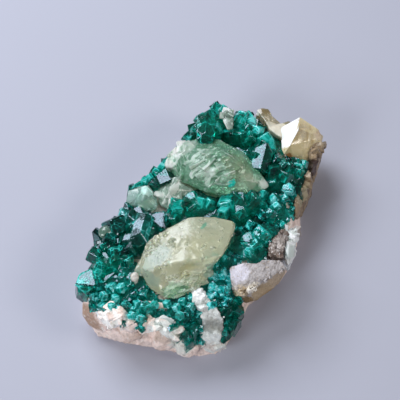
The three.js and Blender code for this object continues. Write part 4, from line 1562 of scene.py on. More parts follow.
class LyingPrism:
    """The one large dioptase prism that lies on its side at the upper-left edge."""

    NAME = "crystal_lying"
    NODE = "dioptase_lying_prism"
    # Its body, the back and front edges of its light end from left to right, and that end's narrow faces
    BODY = Shard(((2.3, 17.8, 17.2), (8.2, 16.4, 17.7), (6.1, 13.3, 17.6), (2.4, 15.8, 17.2),
                  (9.0, 13.7, 15.4), (2.4, 18.6, 13.4), (9.0, 17.2, 13.4), (7.4, 12.6, 13.4),
                  (2.2, 14.6, 13.4)), 0.1)
    BACK = ((5.2, 17.2, 17.4), (8.1, 16.3, 17.9))
    FRONT = ((3.6, 14.8, 17.7), (5.7, 13.0, 18.5))
    SLATS = 9
    STEP = 0.05                     # how far every other narrow face stands out, in mm
    SLAT_DEPTH = 2.0                # how deep they reach, in mm
    SHADED_END_WAY = 0.5                   # faces that look along X more than this take a painted shade
    LIGHT_TONE = 0.15
    SHADED_END_TONE = -0.4

    def slat(self, number: int) -> Shard:
        """One of the narrow faces side by side that stripe the prism's light end."""
        corners = []
        for start, end in (self.BACK, self.FRONT):
            for share in (number, number + 1):
                x, y, z = (between(ends, share / self.SLATS) for ends in zip(start, end))
                lift = self.STEP if share == number and number % 2 else 0.0
                corners += [(x, y, z + lift), (x, y, z - self.SLAT_DEPTH)]
        return Shard(tuple(corners), 0.0)

    def build(self) -> Object:
        """Makes the prism."""
        piece = self.BODY.build()
        piece.name = self.NAME
        grow_together(piece, [self.slat(number).build() for number in range(self.SLATS)])
        tone = piece.data.attributes.new("tone", "FLOAT", "FACE")
        # the end faces along X are painted darker, as shade
        tone.data.foreach_set("value", [
            self.LIGHT_TONE if face.normal.x < self.SHADED_END_WAY else self.SHADED_END_TONE
            for face in piece.data.polygons])
        return piece


# Studio ----------------------------------------------------------------------------------------------


@dataclass
class Studio:
    """Floor, lights and camera.

    Attributes:
        azimuth: Camera's direction round the specimen, in degrees; 0 looks along +Y.
        elevation: Camera's height over the horizon, in degrees.
        distance: From the camera to what it looks at, in mm.
        aim: What it looks at, as a step up the picture from the specimen's middle, in mm.
        lens: Focal length, in mm.
        middle: The specimen's middle, in growth-plan mm.
    """

    azimuth: float = -56.0
    elevation: float = 60.0
    distance: float = 299.1
    aim: float = 7.436
    lens: float = 105.0
    middle: Point = (0.0, 0.0, 14.0)
    SENSOR = 36.0                   # width of the camera's sensor, in mm
    FLOOR = 3.0                     # side of the floor, in m

    def axes(self) -> tuple[Vector, Vector, Vector]:
        """The picture's right and up directions, and the way back to the camera."""
        a, e = math.radians(self.azimuth), math.radians(self.elevation)
        back = Vector((math.sin(a) * math.cos(e), -math.cos(a) * math.cos(e), math.sin(e)))
        right = Vector((math.cos(a), math.sin(a), 0))
        return right, back.cross(right), back

    def add_camera(self) -> None:
        """Adds the camera at the viewing angle."""
        right, up, back = self.axes()
        data = bpy.data.cameras.new("camera")
        data.lens = self.lens
        data.sensor_width = self.SENSOR
        camera = add_object("camera", data)
        target = place(*self.middle) + up * self.aim * MM
        camera.rotation_mode = "QUATERNION"
        camera.rotation_quaternion = Matrix((right, up, back)).transposed().to_quaternion()
        camera.location = target + back * self.distance * MM
        bpy.context.scene.camera = camera

    def add_floor(self) -> None:
        """Adds the pale floor."""
        bpy.ops.mesh.primitive_plane_add(size=self.FLOOR, location=(0, 0, 0))
        floor = bpy.context.object
        floor.name = "floor"
        floor.data.materials.append(FloorFinish().make())

    @staticmethod
    def add_softbox(name: str, direction: Point, distance: float, size: Span, power: float,
                    colour: str) -> None:
        """Adds a rectangular light that faces the specimen.

        Args:
            name: The light's name.
            direction: Where it stands, seen from the specimen.
            distance: How far away, in m.
            size: Its width and height, in m.
            power: In watts.
            colour: Its hex colour.
        """
        data = bpy.data.lights.new(name, "AREA")
        data.shape = "RECTANGLE"
        data.size, data.size_y = size
        data.energy = power
        data.color = linear(colour)[:3]
        light = add_object(name, data)
        way = Vector(direction).normalized()
        light.location = way * distance
        light.rotation_mode = "QUATERNION"
        light.rotation_quaternion = way.to_track_quat("Z", "Y")

    def build(self) -> None:
        """Sets the whole studio up."""
        self.add_camera()
        self.add_floor()
        self.add_softbox("key", (0.2, 0.68, 0.75), 0.5, (0.34, 0.29), 2.7, "#f4f8ff")
        self.add_softbox("side", (-0.9, 0.15, 0.6), 0.55, (0.2, 0.2), 1.5, "#f4f6fa")
        self.add_softbox("front", (0.3, -0.9, 0.8), 0.6, (0.2, 0.16), 1.0, "#fff8f0")
        world = bpy.data.worlds.new("soft room")
        world.use_nodes = True
        wire(world.node_tree.nodes["Background"], {"Color": linear("#c9cde0"), "Strength": 0.2})
        bpy.context.scene.world = world
        bpy.context.scene.view_settings.view_transform = "Standard"


# The specimen ----------------------------------------------------------------------------------------


@dataclass
class Specimen:
    """The whole specimen: rock, calcites and crust, each dressed in its finish.

    Attributes:
        bench: Where crystals are cut.
        surfaces: What they grow on.
        looks: The materials made so far.
    """

    bench: CrystalBench
    surfaces: Surfaces
    looks: dict[Finish, bpy.types.Material] = field(default_factory=dict)

    def keep(self, piece: Object, finish: Finish, slot: str, *nodes: str) -> None:
        """Dresses a finished piece and hands it to the frame.

        Args:
            piece: The piece.
            finish: How it looks.
            slot: A slot's name; not used.
            nodes: The frame solids that it stands for.
        """
        if finish not in self.looks:
            self.looks[finish] = finish.make()
        piece.data.materials.clear()
        piece.data.materials.append(self.looks[finish])
        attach(piece, BODY)
        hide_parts(*nodes)
        log.info("%s: %d faces", piece.name, len(piece.data.polygons))

    def add_rock(self) -> None:
        """Adds the matrix."""
        extras = (
            Lump((-30.2, 0.6, 6.0), (2.6, 3.0, 3.0), 15), Lump((-27.4, -7.6, 5.0), (2.4, 3.2, 3.4), 35),
            Lump((-25.4, -13.0, 4.0), (2.2, 2.8, 3.2), 20),
            Chip((-10.0, 20.4, 7.0), (6.4, 3.4, 5.4), (10, 20, 15), 6, 71),
            Chip((1.6, 20.6, 6.0), (7.0, 3.0, 6.0), (-14, 10, 0), 6, 72),
            Chip((13.6, 19.4, 7.0), (5.4, 3.4, 6.0), (12, -16, -10), 6, 73),
            Chip((24.4, 18.4, 6.4), (6.0, 3.4, 5.4), (-10, 12, -20), 6, 74),
            Chip((-31.4, 4.4, 12.2), (5.0, 5.6, 3.4), (10, -14, 70), 6, 3, 0.05),
            Chip((-30.6, 0.4, 10.6), (3.0, 4.0, 4.6), (-8, -20, 20), 6, 4, 0.05),
            Chip((-28.4, -3.8, 10.6), (3.2, 3.6, 4.6), (25, -18, 100), 6, 5, 0.05),
            Chip((-26.0, -9.0, 10.0), (3.4, 4.6, 5.4), (12, -20, 65), 6, 6, 0.05))
        pushes = (Push("CLOUDS", 5.0, 1.3), Push("VORONOI", 2.4, 0.6), Push("VORONOI", 1.1, 0.3),
                  Push("CLOUDS", 0.7, 0.2))
        facets = (
            *crumbs((-31.2, 4.4, 13.4), (1.8, 3.0, 1.0), 20, 2.4, 100),
            *crumbs((-32.6, 5.4, 11.6), (1.0, 3.0, 1.6), 12, 2.3, 140),
            *crumbs((-30.8, 0.6, 11.8), (1.2, 2.2, 1.6), 12, 1.9, 160),
            *crumbs((-27.6, -5.4, 12.2), (1.6, 2.6, 1.4), 12, 1.9, 180),
            *crumbs((-26.6, -9.6, 10.4), (1.2, 2.4, 2.4), 10, 1.7, 200),
            Shard(((-30.4, 13.2, 12.3), (-31.2, 10.6, 12.6), (-32.3, 8.4, 12.4), (-33.4, 5.6, 11.4),
                   (-31.6, 14.6, 8.0), (-33.4, 13.6, 5.0), (-34.0, 11.4, 3.0), (-33.8, 7.6, 2.0),
                   (-33.9, 5.6, 6.0), (-29.0, 9.0, 6.0), (-29.4, 13.0, 5.0)), 0.08),
            Chip((-25.8, -7.8, 11.6), (2.6, 5.4, 4.6), (14, -26, 20), 5, 20, 0.04),
            Chip((-23.6, -3.2, 13.6), (6.6, 1.6, 1.8), (20, 8, -62), 5, 21, 0.04),
            Shard(((-25.6, -7.5, 8.8), (-23.4, -10.1, 9.2), (-24.5, -11.7, 6.5), (-25.3, -13.3, 3.5),
                   (-26.4, -10.8, 3.0), (-26.3, -8.1, 5.0), (-22.0, -9.0, 4.0)), 0.1))
        rock = GrownPiece("matrix", "matrix_rock", 0.45, pushes, extras, facets, wear=0.0, crisp=36,
                          flat_foot=True).build()
        finish = StoneFinish(name="matrix stone", light="#ffe9dd", dark="#d9b9a5", patches=(
            Patch((-35, 11.8, 7), (4.8, 6.0, 7.0), "#a98870", 0.9, 3.5),
            Patch((-31, -1, 6), (3.4, 6, 3.0), "#b3937c", 0.4, 1.6),
            Patch((-27.5, -7.5, 8.0), (3.4, 3, 3), "#b39a84", 0.5, 1.4),
            Patch((-31.5, 4, 12.4), (4.6, 5.2, 4), "#fbfaf5", 1.0, 1.2),
            Patch((-33, 9.4, 12), (2, 5, 2), "#fafaf8", 1.0, 1.0),
            Patch((-27.0, -7, 11.6), (5, 5.6, 3.6), "#f0f3ec", 1.0, 1.2),
            Patch((-26, -12, 7), (4, 4, 7), "#e6e8de", 0.9, 1.6),
            Patch((30, -15, 8), (12, 4, 9), "#8d7455", 0.9),
            Patch((2, -20, 6), (8, 5, 8), "#b59a80", 0.8)))
        self.keep(rock, finish, "matrix", "matrix_rock")

    def add_upper_calcite(self) -> None:
        """Adds the large calcite at the upper end: a frosted knob, ripples on its back and a clean flank."""
        ripples = Zone((13.4, 4.8, 21.4), (5.4, 7.0, 5.0))
        pushes = (
            Push("CLOUDS", 4.0, 0.9), Push("CLOUDS", 1.6, 0.5, ripples, 2.0, -25), Push("CLOUDS", 0.8, 0.12))
        extras = (Lump((15.0, 15.0, 16.4), (3.6, 2.8, 3.0), 20),
                  Lump((12.2, 15.0, 16.0), (3.0, 2.8, 2.8), 50),
                  Chip((18.4, 8.4, 18.6), (3.6, 3.0, 3.2), (10, 20, 60), 6, 12),
                  Chip((10.6, 11.6, 17.0), (4.6, 3.4, 3.4), (10, -20, 30), 6, 14),
                  Lump((11.6, 16.2, 15.8), (2.8, 2.2, 2.6), 20),
                  Shard(((19.4, -8.6, 16.0), (19.6, -5.4, 17.6), (16.0, -4.4, 17.8), (18.6, -3.0, 18.6),
                         (18.0, -7.6, 16.4), (20.0, -6.0, 15.0), (17.0, -5.0, 14.0)), 0.1))
        plates = (
            Chip((13.2, 17.2, 17.0), (3.8, 2.4, 2.4), (24, -6, -10), 5, 41, 0.04),
            Chip((10.2, 15.8, 16.8), (3.2, 2.6, 2.2), (10, -24, 30), 5, 42, 0.04),
            Chip((16.8, 17.0, 17.6), (2.6, 2.0, 2.2), (26, 10, -40), 5, 43, 0.04),
            Chip((9.6, 12.8, 17.0), (3.4, 2.2, 2.0), (-6, -26, 60), 5, 44, 0.04),
            Chip((15.6, 15.2, 18.4), (4.6, 3.2, 2.6), (12, -8, -20), 5, 15, 0.05),
            Chip((12.2, 15.6, 17.4), (4.0, 3.0, 2.6), (-10, -14, 10), 5, 16, 0.05),
            Chip((13.4, 12.6, 19.4), (3.4, 2.2, 1.8), (16, 10, -30), 5, 17, 0.05),
            *(Chip(centre, (4.4, 2.0, 1.1), (tip, lean, turn), 4, seed, 0.04)
              for seed, (centre, tip, lean, turn) in enumerate((
                  ((10.8, 8.6, 20.2), 14, -30, -20), ((12.4, 9.4, 21.2), -16, -14, -35),
                  ((14.6, 8.6, 21.6), 18, -6, -15), ((16.6, 8.8, 21.4), -14, 18, -30),
                  ((11.2, 6.4, 20.6), 20, -26, -25), ((13.4, 6.6, 21.8), -18, -6, -10),
                  ((15.8, 6.2, 21.7), 16, 12, -35), ((17.8, 5.6, 20.8), -12, 26, -20),
                  ((11.2, 3.8, 19.8), 16, -24, -15), ((13.4, 3.8, 21.3), -20, -10, -30),
                  ((15.6, 3.6, 21.5), 18, 8, -20), ((17.4, 2.8, 20.8), -16, 20, -35),
                  ((12.8, 1.2, 20.2), 18, -14, -25), ((15.2, 0.8, 21.0), -18, 4, -15),
                  ((17.2, 0.2, 20.2), 14, 16, -30)), start=70)))
        piece = GrownPiece("calcite_crystal_upper", "calcite_upper", 0.2, pushes, extras, plates).build()
        finish = CalciteFinish(
            name="pale green calcite", clear="#98d6b2", milky="#d8e9da", veil=2.6, milk=0.3, patches=(
                Patch((15.4, 15.4, 19.2), (5.2, 3.6, 3.4), "#e4eee2", 0.7, 1.2, frost=0.5),
                Patch((15.4, 17.4, 17.6), (4.6, 2.2, 2.8), "#fbf9f2", 0.9, 0.9),
                Patch((10.8, 16.4, 16.8), (2.8, 2.4, 2.4), "#f2f5ea", 0.85, 0.8),
                Patch((18.8, -7.0, 17.0), (1.8, 2.4, 2.0), "#eef0e8", 0.8, 0.5),
                Patch((17.6, 0.4, 20.4), (4.8, 6.0, 3.6), "#b4bd94", 0.65, 2.5, frost=0.15),
                Patch((16.0, -3.6, 18.6), (4.0, 3.4, 2.6), "#c9cbb4", 0.6, 2.0, frost=0.4),
                Patch((12.9, 11.9, 19.6), (1.6, 0.8, 1.2), "#c9fbe2", 0.9, 0.6, frost=0.1),
                Patch((13.4, -0.8, 19.1), (1.8, 1.1, 1.5), "#10e0d0", 1.0, 0.4, frost=0.9)),
            scales=(
                Scales(Patch((13.6, 16.2, 17.8), (6.4, 4.0, 4.0), "#fdfdf8"), 2.0, 1.5, 10, 0.35, "#a9cbb4",
                       0.8),
                Scales(Patch((13.6, 6.0, 21.0), (8.4, 9.4, 6.0), "#eaf2ea"), 1.6, 2.4, -25, 0.5, "#8fae9c")))
        self.keep(piece, finish, "calcite_green", "calcite_upper")

    def add_lower_calcite(self) -> None:
        """Adds the large calcite at the lower end: one broad clean face over steep, ribbed ones."""
        ribs = Zone((-14.5, -7.0, 16.6), (8.5, 4.6, 4.2))
        grainy = Zone((-12.0, 6.6, 18.0), (9.0, 2.4, 2.4))
        sugary = Zone((-14.4, 2.8, 20.4), (4.0, 4.4, 2.4))
        pushes = (
            Push("CLOUDS", 6.0, 0.5), Push("VORONOI", 1.6, 1.8, ribs, 3.0, -50),
            Push("CLOUDS", 0.8, 0.7, ribs, 2.6, -44), Push("VORONOI", 0.8, 0.7, grainy),
            Push("CLOUDS", 0.5, 0.35, sugary), Push("CLOUDS", 0.9, 0.1))
        extras = (Chip((-17.4, -5.4, 14.8), (3.4, 4.6, 2.6), (18, 12, 60), 6, 21),
                  Chip((-13.4, -8.6, 15.4), (4.6, 2.2, 2.6), (20, 0, -35), 6, 22),
                  Chip((-10.6, -9.2, 16.4), (3.2, 2.0, 2.2), (10, -10, -50), 6, 23),
                  Chip((-19.6, -1.6, 15.4), (3.2, 3.0, 2.4), (0, -20, 10), 6, 24),
                  Shard(((-15.6, 7.2, 16.2), (-12.6, 7.4, 17.0), (-19.8, 6.8, 15.6), (-20.4, 5.0, 15.6),
                         (-19.2, 3.0, 15.6), (-18.4, 1.6, 15.8), (-16.8, 4.8, 17.2), (-14.0, 4.0, 17.6),
                         (-16.0, 5.0, 12.0)), 0.2))
        cuts = (((4.0, -7.6, 18.4), (0.5, -0.45, 0.74)),)
        piece = GrownPiece("calcite_crystal_lower", "calcite_lower", 0.26, pushes, extras, cuts=cuts).build()
        finish = CalciteFinish(
            name="yellow-green calcite", clear="#f0f3d6", milky="#f4f6e4", veil=4.5, milk=0.25, worn=0.45,
            patches=(Patch((-13.6, 3.0, 20.2), (4.2, 4.2, 3.0), "#bdc9bf", 0.85, 1.2),
                     Patch((-17.2, 3.6, 19.4), (3.0, 3.0, 3.0), "#bccabf", 0.75, 1.2),
                     Patch((-1.0, -2.8, 19.6), (5.0, 5.0, 3.0), "#dde3c8", 0.6, 3.0, frost=0.1),
                     Patch((-12.6, -5.0, 19.0), (4.6, 2.4, 2.2), "#c8c693", 0.7, 1.6, frost=0.1),
                     Patch((-17.5, -5.0, 15.4), (5.5, 3.6, 3.0), "#8fd3a8", 0.9, 2.4, frost=0.2),
                     Patch((-19.0, 2.0, 16.4), (3.0, 5.0, 2.6), "#a9c4b4", 0.7, 2.0, frost=0.3),
                     Patch((-1.0, -1.9, 19.5), (1.8, 0.6, 1.2), "#7fd0b4", 0.9, 0.5, frost=0.0)),
            scales=(
                Scales(Patch((-16.0, -5.6, 16.2), (8.0, 4.6, 4.0), "#dff0d6"), 1.3, 3.0, -40, 0.9,
                       "#7fb692"),
                Scales(Patch((-13.8, 3.4, 19.6), (5.6, 6.0, 3.0), "#d6ded6"), 0.6, 1.2, 0, 0.15, "#9fb0a0",
                       0.4)))
        self.keep(piece, finish, "calcite_yellow", "calcite_lower")

    def add_left_calcites(self) -> None:
        """Adds the two calcites at the left edge."""
        fine = (Push("CLOUDS", 2.4, 0.3), Push("CLOUDS", 0.7, 0.08))
        outer = GrownPiece("calcite_crystal_left_outer", "calcite_left_outer", 0.22, fine, (
            Chip((-1.2, 16.0, 14.2), (5.0, 4.6, 3.0), (6, 0, 40), 6, 31),), (
            Shard(((0.7, 17.4, 18.5), (0.6, 15.0, 17.5), (-0.4, 14.2, 16.8), (-2.4, 17.2, 17.2),
                   (-0.4, 19.1, 17.0), (1.6, 16.6, 16.4), (-1.0, 16.0, 12.0)), 0.06),
            Shard(((-0.4, 19.1, 17.0), (-1.9, 21.1, 16.0), (-3.3, 20.5, 15.5), (-4.5, 20.1, 15.0),
                   (-4.4, 18.9, 15.2), (-2.4, 17.2, 17.2), (-2.0, 18.0, 11.0)), 0.06),
            Shard(((-2.4, 17.2, 17.0), (-0.4, 14.2, 16.6), (-1.9, 12.9, 15.6), (-3.2, 15.5, 15.6),
                   (-4.4, 18.9, 15.0), (-2.0, 15.0, 11.0)), 0.06))).build()
        finish = CalciteFinish(name="mint calcite", clear="#bff0e0", milky="#e6f8f0", milk=0.5, patches=(
            Patch((0.0, 16.4, 18.0), (2.0, 2.2, 1.6), "#d2fbee", 1.0, 0.8, frost=0.9),
            Patch((-2.2, 15.2, 16.2), (2.4, 3.0, 1.6), "#bfe6cc", 0.7, 1.4, frost=0.5),
            Patch((-2.8, 19.4, 16.2), (2.6, 2.4, 2.4), "#b2ccc6", 0.8, 1.6, frost=0.4)))
        self.keep(outer, finish, "calcite_green", "calcite_left_outer")
        streaks = Zone((3.6, 11.0, 16.6), (4.6, 4.0, 3.0))
        waves = (*fine[1:], Push("CLOUDS", 2.4, 0.15), Push("VORONOI", 1.2, 0.14, streaks, 4.0, 20))
        inner = GrownPiece(
            "calcite_crystal_left_inner", "calcite_left_inner", 0.22, waves,
            (Chip((3.6, 11.4, 15.4), (8.6, 5.2, 3.4), (0, -6, 40), 5, 35),), (
                Chip((5.0, 11.6, 17.0), (5.4, 2.4, 1.3), (10, -10, 10), 5, 36, 0.04),
                Chip((1.8, 13.4, 16.0), (2.2, 3.6, 1.1), (0, 8, 20), 5, 37, 0.04),
                Chip((2.4, 10.4, 16.2), (3.6, 1.8, 1.6), (16, -10, 35), 5, 38, 0.04))).build()
        finish = CalciteFinish(
            name="streaked calcite", clear="#bfdfca", milky="#eef4ea", veil=1.6, milk=0.5, patches=(
                Patch((4.4, 11.2, 17.2), (3.2, 1.4, 2.0), "#f6f6ee", 0.6, 1.4),
                Patch((1.5, 13.8, 16.6), (1.2, 2.6, 1.8), "#f0f5ec", 0.5, 1.2),
                Patch((3.4, 14.0, 16.0), (2.2, 1.4, 1.6), "#a9c6b4", 0.8, 1.2, frost=0.2),
                Patch((1.8, 9.8, 16.0), (2.0, 1.2, 1.6), "#f2ece4", 0.8, 0.8)))
        self.keep(inner, finish, "calcite_green", "calcite_left_inner")

    def add_honey_calcites(self) -> None:
        """Adds the honey-coloured cleavage block with its white face, and its flanks."""
        grain = Scales(Patch((39.4, -8.4, 13.6), (5.6, 5.0, 5.0), "#f0e4c4"), 1.3, 6.0, 34, 0.1, "#c9af78",
                       0.5)
        body = CalciteFinish(
            name="honey calcite", clear="#f6e6b6", milky="#f6ebcb", veil=3.0, milk=0.3, worn=0.2,
            transmission=0.35, scales=(grain,), patches=(
                # the white face, painted only where faces look up toward the key light: partly the calcite's
                # own white, partly a painted highlight
                Patch((36.5, -4.6, 17.0), (7.5, 5.5, 4.0), "#fdfefe", 1.0, 1.0, (-0.05, 0.45, 0.9)),
                Patch((41.4, -9.8, 13.6), (2.4, 2.4, 2.0), "#d9bba3", 0.8, 1.0, frost=0.2),
                Patch((31.0, -7.4, 14.6), (1.6, 1.2, 1.2), "#b5691d", 0.8, 0.8, frost=0.1),
                Patch((41.0, -12.6, 9.5), (4.0, 2.4, 4.0), "#a98a70", 0.7, 1.6)))
        block = CleavedBlock("honey_block", "calcite_honey", extras=(
            Shard(((40.4, -7.4, 14.8), (42.8, -9.4, 14.0), (43.0, -11.2, 12.4), (41.2, -11.8, 12.0),
                   (39.0, -10.4, 13.6), (42.0, -11.0, 9.0), (39.0, -9.0, 9.0), (43.4, -9.6, 9.0))),
            Shard(((36.6, -8.2, 16.0), (39.4, -10.8, 13.4), (35.6, -12.8, 10.2), (33.8, -12.0, 11.2),
                   (33.4, -9.8, 13.6), (36.0, -10.0, 8.0))),
            Shard(((41.8, -4.2, 16.8), (37.4, -6.2, 18.2), (32.2, -6.8, 17.6), (30.2, -6.4, 15.8),
                   (31.0, -5.2, 16.0), (33.6, -3.4, 15.8), (37.0, -6.0, 10.0)), 0.08)))
        self.keep(block.build(), body, "calcite_honey", "calcite_honey")
        flank = GrownPiece("honey_flank", "calcite_honey_flank", 0.26, (Push("CLOUDS", 3.0, 0.35),), (
            Shard(((38.6, 7.4, 15.0), (40.4, 6.9, 14.4), (41.6, 5.6, 13.6), (36.6, 3.2, 15.4),
                   (38.4, 0.8, 13.8), (35.2, 1.0, 15.2), (39.0, 6.4, 8.0), (41.4, 4.4, 8.0),
                   (36.4, 2.0, 8.0), (38.6, 0.0, 8.0))),
            Shard(((38.0, 1.2, 13.8), (40.6, -1.4, 14.6), (41.0, -3.0, 15.0), (34.6, -3.4, 15.4),
                   (34.8, -0.8, 15.2), (35.4, 2.0, 15.0), (38.6, -2.6, 8.0), (34.6, -1.0, 9.0)))), crisp=50)
        pale = CalciteFinish(
            name="cream calcite", clear="#d3c9a6", milky="#ece6d2", veil=2.0, milk=0.5, worn=0.3, patches=(
                Patch((40.0, 6.0, 14.0), (2.4, 2.2, 3.0), "#a9955f", 0.8, 1.4, frost=0.1),
                Patch((36.4, -0.6, 15.0), (4.0, 4.0, 3.0), "#efe7d2", 0.8, 2.0),
                Patch((38.6, 7.4, 14.6), (1.4, 2.0, 1.6), "#f2eee6", 0.9, 0.6)))
        self.keep(flank.build(), pale, "calcite_honey", "calcite_honey_flank")
        brown = StoneFinish(
            name="brown calcite", light="#9c876c", dark="#43322a", blotch=2.5, stain=0.5, glint=0.35,
            roughness=0.4, grain=0.8, patches=(
                Patch((24.6, -15.6, 10.5), (5.0, 3.0, 4.0), "#b3a987", 0.9, 1.6),
                Patch((33.6, -13.6, 11.2), (3.6, 2.6, 3.6), "#4a362d", 0.95, 1.0),
                Patch((40.6, -11.8, 12.4), (2.4, 2.0, 2.4), "#a99c88", 0.8, 1.0)))
        coarse = (Push("CLOUDS", 3.0, 0.8), Push("VORONOI", 1.4, 0.6), Push("CLOUDS", 0.6, 0.2))
        lumps = (Shard(((37.8, -10.4, 14.6), (40.4, -11.6, 13.4), (41.8, -12.4, 11.4), (40.0, -13.0, 8.6),
                        (36.8, -13.8, 9.0), (34.2, -12.8, 11.8), (32.2, -14.2, 10.8), (32.2, -15.4, 7.0),
                        (38.6, -12.0, 6.0), (33.0, -10.6, 8.0))),
                 Shard(((32.4, -12.4, 11.8), (28.6, -12.6, 12.8), (29.6, -14.2, 9.6), (24.4, -14.4, 13.2),
                        (25.6, -16.0, 10.0), (29.0, -16.6, 6.4), (25.0, -16.6, 7.6), (26.0, -12.6, 8.0))),
                 Shard(((24.8, -14.4, 13.0), (20.8, -15.8, 13.2), (17.6, -18.0, 12.2), (21.4, -17.4, 10.6),
                        (25.4, -16.2, 8.6), (20.0, -15.0, 8.0), (18.6, -18.2, 9.0))))
        sparks = (*crumbs((37.4, -12.4, 12.0), (3.6, 0.9, 1.8), 20, 1.8, 300),
                  *crumbs((28.4, -14.2, 11.4), (3.4, 1.2, 1.6), 12, 1.8, 330))
        piece = GrownPiece("brown_flank", "calcite_brown_flank", 0.3, coarse, lumps, sparks,
                           crisp=34).build()
        self.keep(piece, brown, "calcite_honey", "calcite_brown_flank")

    def add_grey_calcites(self) -> None:
        """Adds the rough grey block and the glittering wedge above it."""
        pitted = Zone((-0.8, -20.2, 17.2), (5.4, 5.0, 2.6))
        pushes = (Push("CLOUDS", 1.8, 0.25), Push("VORONOI", 0.7, 0.3, pitted), Push("CLOUDS", 0.5, 0.12))
        block = GrownPiece("grey_block", "calcite_grey_block", 0.22, pushes, (
            Shard(((-2.8, -17.6, 17.2), (-0.1, -18.9, 17.7), (2.4, -22.4, 17.6), (2.0, -24.4, 16.8),
                   (-3.1, -22.2, 16.0), (-6.5, -19.4, 16.0), (-4.4, -18.0, 16.6), (-2.0, -20.0, 12.0)), 0.1),
            Shard(((-3.7, -14.9, 17.0), (-7.0, -14.0, 15.8), (-9.3, -15.8, 14.4), (-6.9, -19.0, 15.8),
                   (-4.2, -18.2, 16.6), (-2.4, -16.6, 17.0), (-6.0, -17.0, 12.0)), 0.1),
            Shard(((-6.5, -19.6, 15.8), (-3.1, -22.5, 15.8), (2.0, -24.6, 16.6), (-9.3, -16.2, 14.0),
                   (-10.7, -18.4, 11.0), (-9.2, -20.4, 10.0), (-7.1, -22.2, 10.0), (-2.7, -24.0, 11.0),
                   (0.1, -24.6, 12.0), (1.8, -24.8, 14.0), (-5.0, -18.0, 10.0), (1.0, -21.0, 12.0)), 0.1)), (
            *crumbs((-8.8, -17.8, 13.6), (1.2, 1.8, 1.4), 34, 1.1, 400),
            *crumbs((-6.6, -20.2, 14.8), (2.4, 1.0, 0.9), 20, 0.8, 450),
            *crumbs((-2.8, -22.4, 16.0), (2.2, 0.5, 0.3), 8, 0.6, 480),
            *crumbs((0.4, -24.0, 16.6), (1.8, 0.6, 0.3), 8, 0.6, 490)), crisp=26).build()
        grey = StoneFinish(
            name="grey calcite", light="#b6b1b0", dark="#807976", blotch=1.2, stain=0.5, glint=0.15,
            grain=0.4, patches=(
                Patch((-6.2, -15.6, 16.6), (3.4, 3.2, 2.2), "#e0dde8", 0.9, 1.6),
                Patch((-3.0, -24.6, 13.0), (8.4, 3.8, 4.4), "#b39f86", 0.95, 0.8),
                Patch((-5.6, -22.4, 12.2), (4.4, 3.0, 3.2), "#ab9678", 0.95, 0.8),
                # golden patch: its own golden colour, lightened as painted glitter
                Patch((-9.0, -18.2, 13.4), (2.8, 2.8, 2.6), "#d2bf9f", 0.95, 0.5),
                Patch((-6.6, -20.4, 14.8), (3.0, 1.8, 1.4), "#efe8da", 0.9, 0.4),
                Patch((-9.4, -19.6, 10.6), (3.4, 3.0, 2.0), "#957748", 0.9, 0.6),
                Patch((-2.0, -24.0, 9.8), (8.0, 4.0, 2.6), "#8d7350", 0.7, 1.6)))
        self.keep(block, grey, "calcite_grey", "calcite_grey_block")
        glitter = StoneFinish(
            name="glittering brown calcite", light="#7c6b60", dark="#352924", blotch=1.4, stain=0.5,
            glint=0.6, grain=0.7, roughness=0.35, patches=(
                # silvery streaks: painted glints
                Patch((6.6, -19.6, 16.0), (4.0, 2.2, 1.5), "#cfc8c2", 0.6, 0.35),))
        wedge = GrownPiece("brown_wedge", "calcite_brown_wedge", 0.24, (
            Push("VORONOI", 1.1, 0.6), Push("CLOUDS", 0.6, 0.2)), (
            Shard(((12.0, -17.8, 15.0), (7.7, -17.7, 15.8), (3.6, -18.5, 16.4), (3.0, -21.3, 16.6),
                   (3.6, -22.8, 16.2), (6.5, -20.9, 16.0), (10.9, -19.1, 15.4), (7.0, -19.0, 9.0),
                   (4.4, -21.0, 9.0))),), tuple(crumbs((6.6, -19.4, 15.8), (3.8, 1.4, 0.7), 26, 1.3, 480)),
            crisp=18).build()
        self.keep(wedge, glitter, "calcite_grey", "calcite_brown_wedge")

